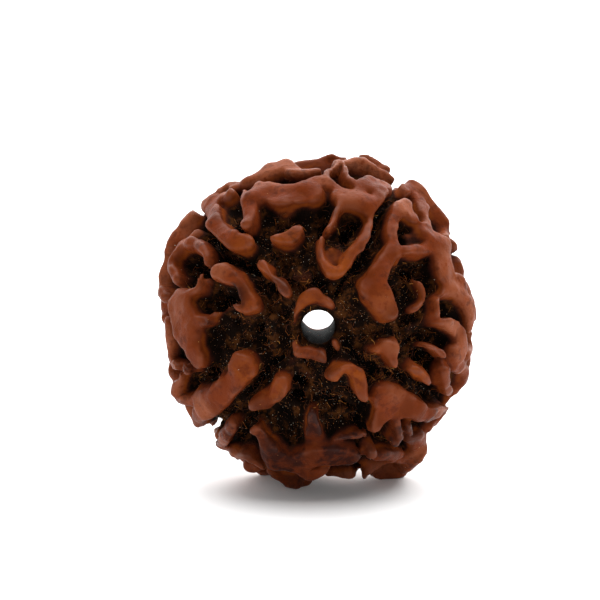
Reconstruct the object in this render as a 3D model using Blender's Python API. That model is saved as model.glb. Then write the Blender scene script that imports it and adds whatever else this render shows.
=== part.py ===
"""Rudraksha seed: the woody stone of one fruit, 20 mm across, with five furrows and a threading hole.

Run with: blender --background --python part.py

The seed is one solid. A core carries winding ridges with flat, rounded tops. Five furrows run from
one end of the hole over the sides to the other end and part the ridges into five faces. The shape
is described as a field of distances, in millimetres, which is negative inside the seed. The field
is turned into a mesh, thinned, drilled, and ground flat where the seed rests.

The seed's own axes are x to the right, y along the hole and away from the near end, and z up. The
finished part is tipped forward about X, so that it lies as a seed lies on a table.
"""

import math

import bmesh
import bpy
import numpy as np
import openvdb
from mathutils import Matrix, Vector

MM = 0.001

# Whole seed, in mm
HALF_WIDTH = 9.9
HALF_DEPTH = 8.5
HALF_HEIGHT = 10.2
CORE_DEPTH = 2.0
ROOT_DEPTH = 2.7
FURROW_DEPTH = 2.7
PIT_DEPTH = 3.1

# How the seed lies: tipped forward about X, and ground flat where it rests
TIP_DEGREES = 12.0
FLAT_DEPTH = 0.25

# Threading hole, in mm
HOLE_RADIUS = 1.05
HOLE_NEAR_Z = -0.5
HOLE_FAR_Z = 0.5
HOLE_HALF_LENGTH = 12.0

# Block that grinds the flat, in mm
BLOCK_SIDE = 40.0
BLOCK_HEIGHT = 10.0

# Mesh
VOXEL = 0.25
FIELD_HALF = (11.6, 9.8, 11.8)
WINDOW_MARGIN = 0.7
TARGET_TRIANGLES = 4700
SOFTENING_PASSES = 3
SOFTENING_LOSS = 0.1
SHARP_DEGREES = 50.0

STONE_COLOUR = (0.20, 0.055, 0.028, 1.0)
STONE_ROUGHNESS = 0.42

# Ridges of the near end: points of (x, z, half-width) in mm, each on the middle of a ridge as seen
# along the hole. A fourth number is how far behind the widest section the point lies.
CROWN_FACE = [
    [(-3.9, 8.2, 0.40), (-4.05, 7.3, 0.35), (-4.15, 6.5, 0.35), (-4.3, 5.8, 0.30)],
    [(-3.6, 7.9, 0.75), (-2.6, 7.85, 0.85), (-1.6, 7.8, 0.85), (-0.7, 7.8, 0.80)],
    [
        (-0.7, 8.2, 0.50), (0.1, 8.6, 0.45), (0.7, 8.25, 0.35), (1.4, 7.95, 0.30), (2.2, 7.7, 0.45),
        (2.9, 7.3, 0.50),
    ],
    [
        (3.9, 7.9, 0.40), (3.5, 7.1, 0.40), (3.2, 6.2, 0.35), (2.9, 5.3, 0.30), (2.5, 4.6, 0.30),
        (1.9, 3.8, 0.45), (1.1, 3.35, 0.65),
    ],
    [(1.1, 3.4, 0.60), (0.5, 4.0, 0.35)],
    [(1.55, 7.7, 0.15), (1.45, 7.0, 0.15), (1.25, 6.3, 0.15), (0.9, 5.8, 0.20)],
    [(1.3, 9.95, 0.30), (0.75, 9.6, 0.28), (0.6, 9.1, 0.22), (0.8, 8.6, 0.20)],
    [(1.3, 9.95, 0.30), (2.1, 9.85, 0.30), (3.0, 9.75, 0.45), (3.9, 9.4, 0.55), (4.4, 9.0, 0.50)],
    [(1.55, 9.6, 0.12), (1.85, 8.9, 0.12), (2.2, 8.25, 0.14)],
    [(2.6, 8.2, 0.30), (3.3, 8.4, 0.50), (4.0, 8.5, 0.50)],
    [(0.1, 9.8, 0.50), (0.9, 10.0, 0.55), (1.5, 10.0, 0.40)],
    [
        (-5.0, 8.6, 0.35), (-4.0, 8.95, 0.35), (-3.0, 9.25, 0.35), (-2.0, 9.55, 0.40), (-1.0, 9.3, 0.35),
        (-0.2, 9.35, 0.35),
    ],
    [(2.6, 10.1, 0.30, 1.0), (3.2, 10.1, 0.30, 1.0), (4.0, 9.85, 0.25, 1.0)],
    [(-2.8, 5.2, 0.25), (-2.1, 5.25, 0.45), (-1.4, 5.25, 0.60)],
    [(-3.4, 3.4, 0.45), (-3.0, 2.85, 0.38), (-2.4, 2.2, 0.30), (-1.8, 1.6, 0.28)],
    [
        (-6.8, 7.5, 0.45), (-6.75, 6.9, 0.35), (-6.6, 6.2, 0.38), (-6.1, 5.5, 0.42), (-5.5, 5.0, 0.42),
        (-4.8, 4.6, 0.38),
    ],
    [(-6.7, 7.6, 0.40), (-6.1, 7.7, 0.45), (-5.6, 7.7, 0.40)],
    [(-6.0, 8.3, 0.30), (-5.5, 8.5, 0.30), (-5.0, 8.5, 0.30)],
    [(-4.65, 8.1, 0.22), (-4.5, 7.5, 0.18), (-4.4, 7.0, 0.12)],
]
LEFT_FACE = [
    [
        (-7.9, 6.5, 0.35), (-8.6, 5.5, 0.35), (-9.2, 4.7, 0.35), (-9.5, 3.9, 0.35), (-9.7, 3.0, 0.38),
        (-9.65, 2.2, 0.35), (-9.5, 1.5, 0.25),
    ],
    [
        (-7.7, 5.8, 0.30), (-8.3, 5.4, 0.35), (-8.7, 4.6, 0.40), (-9.1, 3.8, 0.40), (-9.2, 3.1, 0.38),
        (-8.9, 2.5, 0.30),
    ],
    [(-8.4, 4.8, 0.40), (-7.8, 4.8, 0.40), (-7.3, 4.6, 0.30), (-7.0, 4.1, 0.30), (-7.0, 3.5, 0.30)],
    [(-7.1, 3.2, 0.20), (-7.35, 2.7, 0.25), (-7.5, 2.1, 0.20), (-8.1, 1.6, 0.25), (-8.7, 1.3, 0.35)],
    [(-8.8, 0.7, 0.65), (-8.4, -0.2, 0.70), (-7.9, -1.0, 0.65), (-7.5, -1.8, 0.50), (-7.3, -2.5, 0.42)],
    [(-7.6, -0.1, 0.40), (-7.0, 0.15, 0.25), (-6.5, 0.65, 0.20), (-5.9, 1.0, 0.20)],
    [(-7.2, -0.1, 0.25), (-6.8, -0.1, 0.25)],
    [
        (-6.3, 2.9, 0.50), (-5.7, 2.8, 0.50), (-5.1, 2.2, 0.48), (-4.6, 1.5, 0.50), (-4.4, 0.9, 0.55),
        (-4.9, 0.8, 0.45), (-5.3, 0.95, 0.35),
    ],
    [(-9.3, -0.2, 0.30), (-9.3, -1.0, 0.35), (-9.35, -1.8, 0.38), (-9.2, -2.5, 0.35), (-8.8, -3.0, 0.30)],
    [(-8.5, -3.4, 0.22), (-8.65, -4.0, 0.25), (-8.5, -4.7, 0.28), (-8.1, -5.0, 0.30)],
    [(-8.2, -2.5, 0.15), (-7.9, -2.9, 0.20)],
    [
        (-4.7, -2.8, 0.70), (-5.1, -3.5, 0.70), (-5.7, -4.3, 0.65), (-6.4, -5.0, 0.60), (-7.0, -5.5, 0.60),
        (-7.4, -6.1, 0.40), (-7.35, -6.6, 0.30),
    ],
    [(-6.8, -4.8, 0.40), (-7.5, -4.75, 0.40), (-8.1, -4.95, 0.35)],
]
LOWER_FACE = [
    [
        (-5.4, -6.3, 0.30), (-5.9, -6.95, 0.25), (-6.35, -7.6, 0.38), (-5.7, -8.1, 0.50),
        (-4.9, -8.4, 0.50), (-4.3, -8.3, 0.35),
    ],
    [(-4.1, -9.1, 0.32), (-3.7, -9.2, 0.30)],
    [(-4.1, -8.4, 0.20), (-3.6, -8.9, 0.22), (-3.0, -9.4, 0.25), (-2.4, -9.85, 0.32), (-1.7, -10.25, 0.45)],
    [
        (-3.7, -6.75, 0.33), (-3.2, -7.4, 0.40), (-2.8, -8.2, 0.55), (-2.0, -8.7, 0.40), (-1.0, -8.6, 0.45),
        (0.0, -8.4, 0.60), (1.0, -8.3, 0.60), (1.8, -8.4, 0.45),
    ],
    [(1.0, -7.2, 0.20), (1.8, -7.05, 0.18), (2.7, -6.9, 0.20)],
    [(-0.8, -9.2, 0.35), (-0.2, -9.4, 0.30), (0.3, -9.2, 0.30)],
    [(-2.4, -3.9, 0.40), (-2.8, -4.4, 0.42), (-3.4, -4.9, 0.35), (-3.95, -5.2, 0.25)],
    [(1.0, -3.2, 0.38), (1.5, -2.75, 0.42), (2.15, -3.2, 0.45), (2.65, -4.0, 0.42), (2.95, -4.75, 0.30)],
]
LOWER_RIGHT_FACE = [
    [(4.2, -4.7, 0.55), (5.1, -4.8, 0.60), (5.9, -5.1, 0.50), (6.6, -5.6, 0.40)],
    [(4.2, -4.9, 0.60), (3.9, -5.6, 0.50), (3.65, -6.4, 0.30)],
    [(6.7, -5.7, 0.40), (7.4, -5.6, 0.50), (7.9, -5.7, 0.45), (7.5, -6.3, 0.45), (7.0, -6.8, 0.35)],
    [(4.9, -6.1, 0.28), (5.05, -6.9, 0.30)],
    [(5.1, -7.15, 0.15), (4.75, -7.6, 0.15)],
    [(5.75, -6.3, 0.22), (5.8, -6.9, 0.22)],
    [
        (5.7, -7.2, 0.30), (6.05, -7.7, 0.35), (5.8, -8.3, 0.40), (5.2, -8.5, 0.45), (4.5, -8.4, 0.40),
        (3.8, -8.3, 0.30),
    ],
    [(2.9, -9.45, 0.40, 2.6), (4.0, -9.65, 0.42, 3.2), (5.0, -9.55, 0.42, 3.2)],
    [
        (6.2, -7.0, 0.25), (6.4, -7.7, 0.30), (6.35, -8.4, 0.30), (6.0, -9.0, 0.35, 1.0),
        (5.5, -9.35, 0.32, 2.4),
    ],
    [(3.15, -8.0, 0.33), (3.15, -8.3, 0.30)],
]
RIGHT_FACE = [
    [(3.5, -1.85, 0.35), (4.2, -1.7, 0.45), (4.75, -1.7, 0.45)],
    [(4.6, -1.9, 0.50), (4.9, -2.5, 0.35)],
    [(5.8, -3.0, 0.38), (6.3, -3.3, 0.30), (6.8, -3.7, 0.15)],
    [(6.7, -1.75, 0.25), (7.3, -1.9, 0.35), (7.7, -2.0, 0.40)],
    [(6.5, -2.4, 0.20), (6.7, -2.6, 0.18)],
    [(7.5, -0.2, 0.18), (8.3, -0.4, 0.40), (8.8, -0.8, 0.55), (8.9, -1.5, 0.55), (8.6, -1.9, 0.45)],
    [
        (7.6, 4.4, 0.45), (7.8, 3.6, 0.50), (8.1, 2.8, 0.60), (8.6, 2.0, 0.50), (9.0, 1.2, 0.42),
        (9.3, 0.4, 0.40), (9.5, -0.3, 0.35),
    ],
    [(8.8, 2.6, 0.30), (9.3, 1.9, 0.30), (9.6, 1.1, 0.32), (9.7, 0.3, 0.32)],
    [(8.3, 2.0, 0.30), (7.7, 1.6, 0.22), (7.3, 1.2, 0.20), (7.3, 0.5, 0.20)],
    [(9.6, -0.8, 0.30), (9.55, -1.5, 0.35), (9.2, -2.1, 0.30)],
    [(7.75, -3.0, 0.30), (7.85, -3.7, 0.35), (8.1, -4.3, 0.35)],
    [(8.6, -2.6, 0.30), (9.1, -3.3, 0.35), (9.15, -3.7, 0.35), (8.8, -4.2, 0.35)],
    [
        (5.4, 7.3, 0.40), (4.95, 6.5, 0.42), (4.55, 5.6, 0.40), (4.55, 4.7, 0.38), (4.3, 4.0, 0.42),
        (3.7, 3.2, 0.60), (3.3, 2.3, 0.85), (3.7, 1.5, 0.80), (4.15, 0.7, 0.70),
    ],
    [(5.3, 7.1, 0.45), (5.8, 6.5, 0.45)],
    [(4.75, 4.3, 0.22), (4.8, 3.9, 0.22)],
    [(3.0, 2.1, 0.45), (2.65, 2.0, 0.45)],
    [
        (5.3, 8.15, 0.35), (5.9, 8.0, 0.40), (6.3, 7.4, 0.38), (6.6, 6.7, 0.38), (6.8, 6.2, 0.32),
        (6.5, 5.7, 0.30),
    ],
    [
        (5.9, 8.4, 0.35), (6.7, 7.9, 0.35), (7.4, 7.2, 0.38), (7.8, 6.5, 0.35), (8.0, 5.7, 0.38),
        (8.05, 5.2, 0.30),
    ],
    [(6.6, 5.4, 0.30), (7.2, 5.1, 0.40), (7.8, 4.6, 0.45), (8.0, 3.9, 0.45), (8.0, 3.2, 0.50)],
    [(7.2, 4.8, 0.35), (6.5, 4.6, 0.35), (5.8, 4.4, 0.30), (5.3, 4.2, 0.25)],
    [(5.8, 2.7, 0.20), (6.15, 2.2, 0.22), (6.2, 1.6, 0.22), (6.0, 1.0, 0.22), (5.6, 0.5, 0.18)],
]

# Low humps and the broken lip round the hole, which stop short of the ridges' height
LOW_RIDGES = [
    [(-1.5, -0.1, 0.20), (-1.25, 0.6, 0.28), (-0.8, 1.15, 0.30), (-0.2, 1.5, 0.30)],
    [(0.45, 1.1, 0.28), (0.75, 0.9, 0.20)],
    [(-1.3, -1.5, 0.25), (-1.2, -1.9, 0.20)],
    [(-0.5, -1.95, 0.25), (0.2, -2.1, 0.20)],
    [(1.1, -1.5, 0.20), (1.25, -1.7, 0.20)],
    [(-1.5, 2.8, 0.40), (-0.7, 2.8, 0.45)],
    [(-2.9, 0.2, 0.40), (-2.8, -1.3, 0.40)],
    [(1.3, 1.8, 0.40), (1.5, 2.0, 0.40)],
    [(-0.5, -5.7, 0.50), (-0.4, -6.4, 0.65), (0.1, -7.1, 0.65), (0.4, -7.8, 0.60)],
]
LOW_RIDGE_DROP = 0.75

# Furrows of the near end, from the hole outwards, as points of (x, z, half-width, depth). At the far
# end each gets deeper again by FURROW_FALL from point to point.
FURROWS = [
    [
        (1.2, 2.0, 0.25, 2.7), (2.0, 3.0, 0.25, 2.7), (2.6, 3.8, 0.25, 2.7), (3.4, 5.2, 0.25, 2.7),
        (3.9, 6.6, 0.28, 2.2), (4.5, 7.7, 0.26, 1.5), (5.0, 8.75, 0.20, 0.7),
    ],
    [
        (-2.6, 2.0, 0.25, 2.7), (-3.9, 2.9, 0.25, 2.7), (-4.3, 3.4, 0.28, 2.7), (-5.2, 3.9, 0.28, 2.5),
        (-6.0, 4.5, 0.30, 2.2), (-6.9, 5.6, 0.28, 1.3), (-7.4, 6.8, 0.20, 0.6),
    ],
    [
        (-2.2, -2.4, 0.25, 2.7), (-3.0, -2.9, 0.28, 2.7), (-3.6, -3.5, 0.30, 2.7), (-4.8, -4.8, 0.30, 2.7),
        (-5.5, -5.5, 0.30, 2.7), (-6.3, -6.4, 0.28, 2.7),
    ],
    [
        (2.2, -4.9, 0.25, 2.7), (3.3, -5.2, 0.25, 2.7), (3.2, -6.2, 0.28, 2.7), (2.9, -7.3, 0.28, 2.7),
        (2.55, -8.8, 0.35, 2.7),
    ],
    [
        (1.6, -1.7, 0.28, 2.7), (2.6, -2.45, 0.30, 2.7), (3.6, -3.2, 0.32, 2.7), (5.0, -3.65, 0.30, 2.2),
        (6.6, -4.4, 0.28, 1.4), (8.3, -5.0, 0.20, 0.6),
    ],
]
FURROW_FALL = 0.5
FURROW_DEGREES = (60.0, 139.0, 225.0, 286.0, 329.0)

# Pits between the ridges, as (x, z, half-width)
PITS = [
    (1.15, 8.75, 0.42), (2.25, 9.0, 0.38), (0.5, 7.1, 0.50), (0.5, 6.5, 0.42), (2.05, 6.4, 0.50),
    (2.0, 5.7, 0.45), (5.2, 1.9, 0.70), (5.3, 1.2, 0.50), (6.6, 3.2, 0.75), (5.6, 5.3, 0.30),
    (7.35, 6.2, 0.28), (8.2, 0.8, 0.50), (-7.9, 3.2, 0.55), (-7.1, 1.5, 0.70), (-7.1, 0.9, 0.40),
    (-8.6, -2.2, 0.38), (-8.0, -3.9, 0.45), (-5.1, -7.5, 0.40), (-2.0, -9.4, 0.25), (1.9, -6.3, 0.50),
    (2.5, -6.3, 0.40), (6.5, -6.3, 0.30), (-4.4, -0.5, 0.40), (-5.2, 1.5, 0.18), (-6.7, -5.1, 0.12),
    (-1.4, -4.2, 0.70), (-1.5, -5.4, 0.65),
]

# The far end repeats the near end's pattern over this share of the quarter turn to the waist
FAR_REACH = 0.88

# Ridges round the waist, between the near end's pattern and the far end's: shares of their spacing,
# degrees of bend, and mm behind the widest section
SIDE_RIDGES = 17
SIDE_HALF_WIDTHS = (0.38, 0.85)
SIDE_SPREAD = 0.2
SIDE_BEND_DEGREES = 9.0
SIDE_STARTS = (0.9, 1.5)
SIDE_ENDS = (2.8, 3.6)
SIDE_SEED = 11

# Feet that the seed rests on besides its lowest knob: (x, z, half-width, y)
FEET = [
    [
        (-5.4, -7.3, 0.50, 3.4), (-4.5, -8.5, 0.60, 3.8), (-3.4, -9.25, 0.60, 4.2), (-2.5, -9.3, 0.60, 4.6),
        (-1.3, -8.95, 0.55, 4.8), (-0.3, -8.6, 0.50, 4.9),
    ],
    [(6.2, -7.6, 0.40, 2.6), (5.7, -8.8, 0.42, 3.2), (4.9, -9.4, 0.42, 3.8), (4.2, -9.1, 0.42, 4.6)],
    [(2.4, -9.2, 0.40, 2.2), (1.2, -9.2, 0.40, 3.0)],
    [(-1.7, -10.25, 0.45, 0.0), (-1.6, -10.2, 0.45, 0.9), (-1.3, -9.9, 0.45, 1.8)],
]

# Shapes of a ridge's cross-section and of the joins, in mm
EDGE_ROUND = 0.42
FLARE = 0.08
PIT_FLARE = 0.12
JOIN = 0.22

# Unevenness: how far, in mm, and over cells of what size
WARP = 0.12
WARP_CELL = 1.7
ROUGHNESS = 0.05
ROUGHNESS_CELL = 0.8
ROUGHNESS_SEED = 5
GROUND_ROUGHNESS = 0.30
GROUND_CELL = 0.95
GROUND_SEED = 23


def soft_noise(counts, voxel, cell, seed):
    """Random values from -1 to 1 on the corners of cells, eased in between, for every voxel."""
    corners = [int(n * voxel / cell) + 3 for n in counts]
    values = np.random.default_rng(seed).uniform(-1.0, 1.0, corners)
    for axis, count in enumerate(counts):
        place = np.arange(count) * voxel / cell
        first = place.astype(int)
        share = place - first
        share = share * share * (3.0 - 2.0 * share)
        share = share.reshape([-1 if i == axis else 1 for i in range(3)])
        values = values.take(first, axis) * (1.0 - share) + values.take(first + 1, axis) * share
    return values.astype(np.float32)


def smooth_minimum(a, b, reach):
    """The lower of two fields, blended where they are within reach of each other."""
    blend = np.clip(0.5 + 0.5 * (b - a) / reach, 0.0, 1.0)
    return b + (a - b) * blend - reach * blend * (1.0 - blend)


def spine_point(x, z, half_width, behind=None, drop=0.0):
    """The middle of a ridge in space: inside the seed's outer surface by the radius of its edge."""
    inset = min(half_width, EDGE_ROUND) + drop
    wide, deep, tall = HALF_WIDTH - inset, HALF_DEPTH - inset, HALF_HEIGHT - inset
    if behind is None:
        behind = -deep * math.sqrt(max(0.0, 1.0 - (x / wide) ** 2 - (z / tall) ** 2))
    return Vector((x, behind, z))


def outward(point):
    """The outer surface's normal near a point."""
    return Vector((point.x / HALF_WIDTH**2, point.y / HALF_DEPTH**2, point.z / HALF_HEIGHT**2)).normalized()


def smooth_path(points, steps=3):
    """A path of (Vector, *sizes) through the given ones, with rounded bends."""
    ends = [points[0]] + points + [points[-1]]
    path = []
    for before, start, end, after in zip(ends, ends[1:], ends[2:], ends[3:]):
        for step in range(steps):
            t = step / steps
            place = 0.5 * (
                2.0 * start[0]
                + (end[0] - before[0]) * t
                + (2.0 * before[0] - 5.0 * start[0] + 4.0 * end[0] - after[0]) * t**2
                + (3.0 * start[0] - before[0] - 3.0 * end[0] + after[0]) * t**3
            )
            path.append((place, *(a + (b - a) * t for a, b in zip(start[1:], end[1:]))))
    path.append(points[-1])
    return path


def near_spines(ridges, drop=0.0):
    return [
        [(spine_point(point[0], point[1], point[2], *point[3:], drop=drop), point[2]) for point in ridge]
        for ridge in ridges
    ]


def far_place(point):
    """A place on the near end taken to the far end, two faces round, so that furrows meet furrows."""
    across = Vector((point.x / HALF_WIDTH, point.z / HALF_HEIGHT))
    near_hole = Vector((0.0, HOLE_NEAR_Z / HALF_HEIGHT))
    reach = min(across.length, 1.0)
    across -= near_hole * (1.0 - reach)
    angle = math.degrees(math.atan2(across.y, across.x)) % 360.0
    turned = FURROW_DEGREES[2:] + tuple(a + 360.0 for a in FURROW_DEGREES[:3])
    starts = FURROW_DEGREES + (FURROW_DEGREES[0] + 360.0,)
    if angle < starts[0]:
        angle += 360.0
    angle = math.radians(float(np.interp(angle, starts, turned)))
    polar = math.asin(reach) * FAR_REACH
    return Vector((
        HALF_WIDTH * math.sin(polar) * math.cos(angle),
        HALF_DEPTH * math.cos(polar),
        HALF_HEIGHT * (math.sin(polar) * math.sin(angle) + HOLE_FAR_Z / HALF_HEIGHT * (1.0 - reach)),
    ))


def far_spines(ridges, drop=0.0):
    spines = []
    for ridge in ridges:
        spine = []
        for point in ridge:
            half_width = point[2]
            place = far_place(spine_point(point[0], point[1], half_width))
            spine.append((place - outward(place) * (min(half_width, EDGE_ROUND) + drop), half_width))
        spines.append(spine)
    return spines


def side_spines():
    """Stout bent ridges round the waist, behind the widest section."""
    rng = np.random.default_rng(SIDE_SEED)
    spines = []
    for index in range(SIDE_RIDGES):
        degrees = 360.0 * (index + 0.5 + rng.uniform(-SIDE_SPREAD, SIDE_SPREAD)) / SIDE_RIDGES
        bend = rng.uniform(-SIDE_BEND_DEGREES, SIDE_BEND_DEGREES)
        start = rng.uniform(*SIDE_STARTS)
        end = rng.uniform(*SIDE_ENDS)
        spine = []
        for share in (0.0, 0.5, 1.0):
            angle = math.radians(degrees + bend * math.sin(math.pi * share))
            depth = start + (end - start) * share
            girth = math.sqrt(1.0 - (depth / HALF_DEPTH) ** 2)
            place = Vector((
                HALF_WIDTH * girth * math.cos(angle),
                depth,
                HALF_HEIGHT * girth * math.sin(angle),
            ))
            spine.append((place - outward(place) * EDGE_ROUND, rng.uniform(*SIDE_HALF_WIDTHS)))
        spines.append(spine)
    return spines


def furrow_spines():
    """Each furrow's line along the near end, over the side and along the far end."""
    lines = []
    for index, furrow in enumerate(FURROWS):
        line = [(spine_point(x, z, 0.0), half_width, depth) for x, z, half_width, depth in furrow]
        depth = line[-1][2]
        for x, z, half_width, _ in reversed(FURROWS[(index + 3) % len(FURROWS)]):
            line.append((far_place(spine_point(x, z, 0.0)), half_width, depth))
            depth = min(depth + FURROW_FALL, FURROW_DEPTH)
        lines.append(line)
    return lines


class Field:
    """Distances to the seed's surface on a grid of voxels, negative inside."""

    def __init__(self, voxel):
        self.voxel = voxel
        self.axes = [np.arange(-half, half + voxel, voxel, dtype=np.float32) for half in FIELD_HALF]
        counts = [len(axis) for axis in self.axes]
        grid = np.meshgrid(*self.axes, indexing="ij")
        self.places = [
            coordinate + WARP * soft_noise(counts, voxel, WARP_CELL, seed)
            for seed, coordinate in enumerate(grid)
        ]
        ground = GROUND_ROUGHNESS * soft_noise(counts, voxel, GROUND_CELL, GROUND_SEED)
        self.values = self.ellipsoid(CORE_DEPTH) + ground

    def ellipsoid(self, inset):
        radii = [HALF_WIDTH - inset, HALF_DEPTH - inset, HALF_HEIGHT - inset]
        scaled = sum((place / radius) ** 2 for place, radius in zip(self.places, radii)) ** 0.5
        slope = sum((place / radius**2) ** 2 for place, radius in zip(self.places, radii)) ** 0.5
        return (scaled * (scaled - 1.0) / np.maximum(slope, 0.01)).astype(np.float32)

    def window(self, points, half_width):
        """The part of the grid round some points."""
        margin = half_width + WINDOW_MARGIN
        slices = []
        for axis in range(3):
            low = min(point[axis] for point in points) - margin
            high = max(point[axis] for point in points) + margin
            slices.append(slice(*np.searchsorted(self.axes[axis], (low, high))))
        return tuple(slices)

    def offsets(self, window, start, end):
        """Each voxel's share of the way from start to end, height over that line and distance aside."""
        p = [place[window] for place in self.places]
        along = end - start
        length = max(along.length_squared, 1e-9)
        share = sum((p[i] - start[i]) * along[i] for i in range(3)) / length
        share = np.clip(share, 0.0, 1.0)
        up = outward(start + along * 0.5)
        offset = [p[i] - start[i] - along[i] * share for i in range(3)]
        height = sum(offset[i] * up[i] for i in range(3))
        aside = sum((offset[i] - up[i] * height) ** 2 for i in range(3)) ** 0.5
        return share, height, aside

    def add_ridge(self, spine):
        path = smooth_path(spine)
        for (start, start_width), (end, end_width) in zip(path, path[1:]):
            roots = [point - outward(point) * ROOT_DEPTH for point in (start, end)]
            window = self.window([start, end] + roots, max(start_width, end_width))
            share, height, aside = self.offsets(window, start, end)
            half_width = start_width + (end_width - start_width) * share
            edge = np.minimum(half_width, EDGE_ROUND)
            top = np.hypot(np.maximum(aside - half_width + edge, 0.0), np.maximum(height, 0.0)) - edge
            wall = aside - half_width + FLARE * height
            ridge = np.where(height > 0.0, top, np.maximum(wall, -height - ROOT_DEPTH))
            self.values[window] = smooth_minimum(self.values[window], ridge, JOIN)

    def cut_furrow(self, line):
        path = smooth_path(line)
        for (start, start_width, start_depth), (end, end_width, end_depth) in zip(path, path[1:]):
            roots = [start - outward(start) * start_depth, end - outward(end) * end_depth]
            window = self.window([start, end] + roots, max(start_width, end_width))
            share, height, aside = self.offsets(window, start, end)
            half_width = start_width + (end_width - start_width) * share
            depth = start_depth + (end_depth - start_depth) * share
            furrow = np.maximum(aside - half_width, -height - depth)
            self.values[window] = -smooth_minimum(-self.values[window], furrow, JOIN)

    def cut_pit(self, place, half_width):
        bottom = place - outward(place) * PIT_DEPTH
        window = self.window([place, bottom], half_width)
        _, height, aside = self.offsets(window, place, place)
        pit = np.maximum(aside - half_width * (1.0 + PIT_FLARE * height), -height - PIT_DEPTH)
        self.values[window] = -smooth_minimum(-self.values[window], pit, JOIN)

    def roughen(self):
        counts = self.values.shape
        self.values += ROUGHNESS * soft_noise(counts, self.voxel, ROUGHNESS_CELL, ROUGHNESS_SEED)

    def soften(self):
        """Closes slots and webs too fine for the thinned mesh, and makes up the ridges' loss."""
        for axis in (0, 1, 2) * SOFTENING_PASSES:
            sides = np.roll(self.values, 1, axis) + np.roll(self.values, -1, axis)
            self.values = 0.5 * self.values + 0.25 * sides
        self.values -= SOFTENING_LOSS

    def mesh(self, name):
        grid = openvdb.FloatGrid(1.0)
        grid.copyFromArray(self.values)
        grid.transform = openvdb.createLinearTransform(voxelSize=self.voxel)
        points, quads = grid.convertToQuads(0.0)
        points = (np.asarray(points) - np.array(FIELD_HALF)) * MM
        mesh = bpy.data.meshes.new(name)
        mesh.from_pydata(points.tolist(), [], np.asarray(quads).tolist())
        mesh.validate()
        return mesh


def seed_field():
    field = Field(VOXEL)
    tall = CROWN_FACE + LEFT_FACE + LOWER_FACE + LOWER_RIGHT_FACE + RIGHT_FACE
    for x, z, half_width in PITS:
        place = spine_point(x, z, 0.0)
        field.cut_pit(place, half_width)
        field.cut_pit(far_place(place), half_width)
    for line in furrow_spines():
        field.cut_furrow(line)
    for spine in near_spines(tall) + near_spines(LOW_RIDGES, LOW_RIDGE_DROP) + near_spines(FEET):
        field.add_ridge(spine)
    for spine in far_spines(tall) + far_spines(LOW_RIDGES, LOW_RIDGE_DROP) + side_spines():
        field.add_ridge(spine)
    field.roughen()
    field.soften()
    return field


def keep_largest_body(mesh):
    """Drops any crumb or closed hollow that the field leaves beside the seed's one surface."""
    bm = bmesh.new()
    bm.from_mesh(mesh)
    bm.verts.ensure_lookup_table()
    unseen = set(bm.verts)
    bodies = []
    while unseen:
        body = {unseen.pop()}
        edge_of_body = list(body)
        while edge_of_body:
            vert = edge_of_body.pop()
            for edge in vert.link_edges:
                other = edge.other_vert(vert)
                if other in unseen:
                    unseen.remove(other)
                    body.add(other)
                    edge_of_body.append(other)
        bodies.append(body)
    largest = max(bodies, key=len)
    loose = [vert for body in bodies if body is not largest for vert in body]
    bmesh.ops.delete(bm, geom=loose, context="VERTS")
    bmesh.ops.recalc_face_normals(bm, faces=bm.faces)
    bm.to_mesh(mesh)
    bm.free()


def make_collection(name):
    collection = bpy.data.collections.new(name)
    bpy.context.scene.collection.children.link(collection)
    return collection


def make_cutter(name, bm, collection, matrix):
    mesh = bpy.data.meshes.new(name)
    bm.to_mesh(mesh)
    bm.free()
    cutter = bpy.data.objects.new(name, mesh)
    cutter.matrix_world = matrix
    cutter.hide_render = True
    cutter.display_type = "WIRE"
    collection.objects.link(cutter)
    return cutter


def cut(target, cutter):
    modifier = target.modifiers.new(cutter.name, "BOOLEAN")
    modifier.operation = "DIFFERENCE"
    modifier.object = cutter


def woody_brown():
    material = bpy.data.materials.new("waxed brown stone")
    material.use_nodes = True
    surface = material.node_tree.nodes["Principled BSDF"]
    surface.inputs["Base Color"].default_value = STONE_COLOUR
    surface.inputs["Roughness"].default_value = STONE_ROUGHNESS
    surface.inputs["Metallic"].default_value = 0.0
    return material


def apply_modifiers(thing):
    graph = bpy.context.evaluated_depsgraph_get()
    mesh = bpy.data.meshes.new_from_object(thing.evaluated_get(graph))
    thing.modifiers.clear()
    thing.data = mesh


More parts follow.
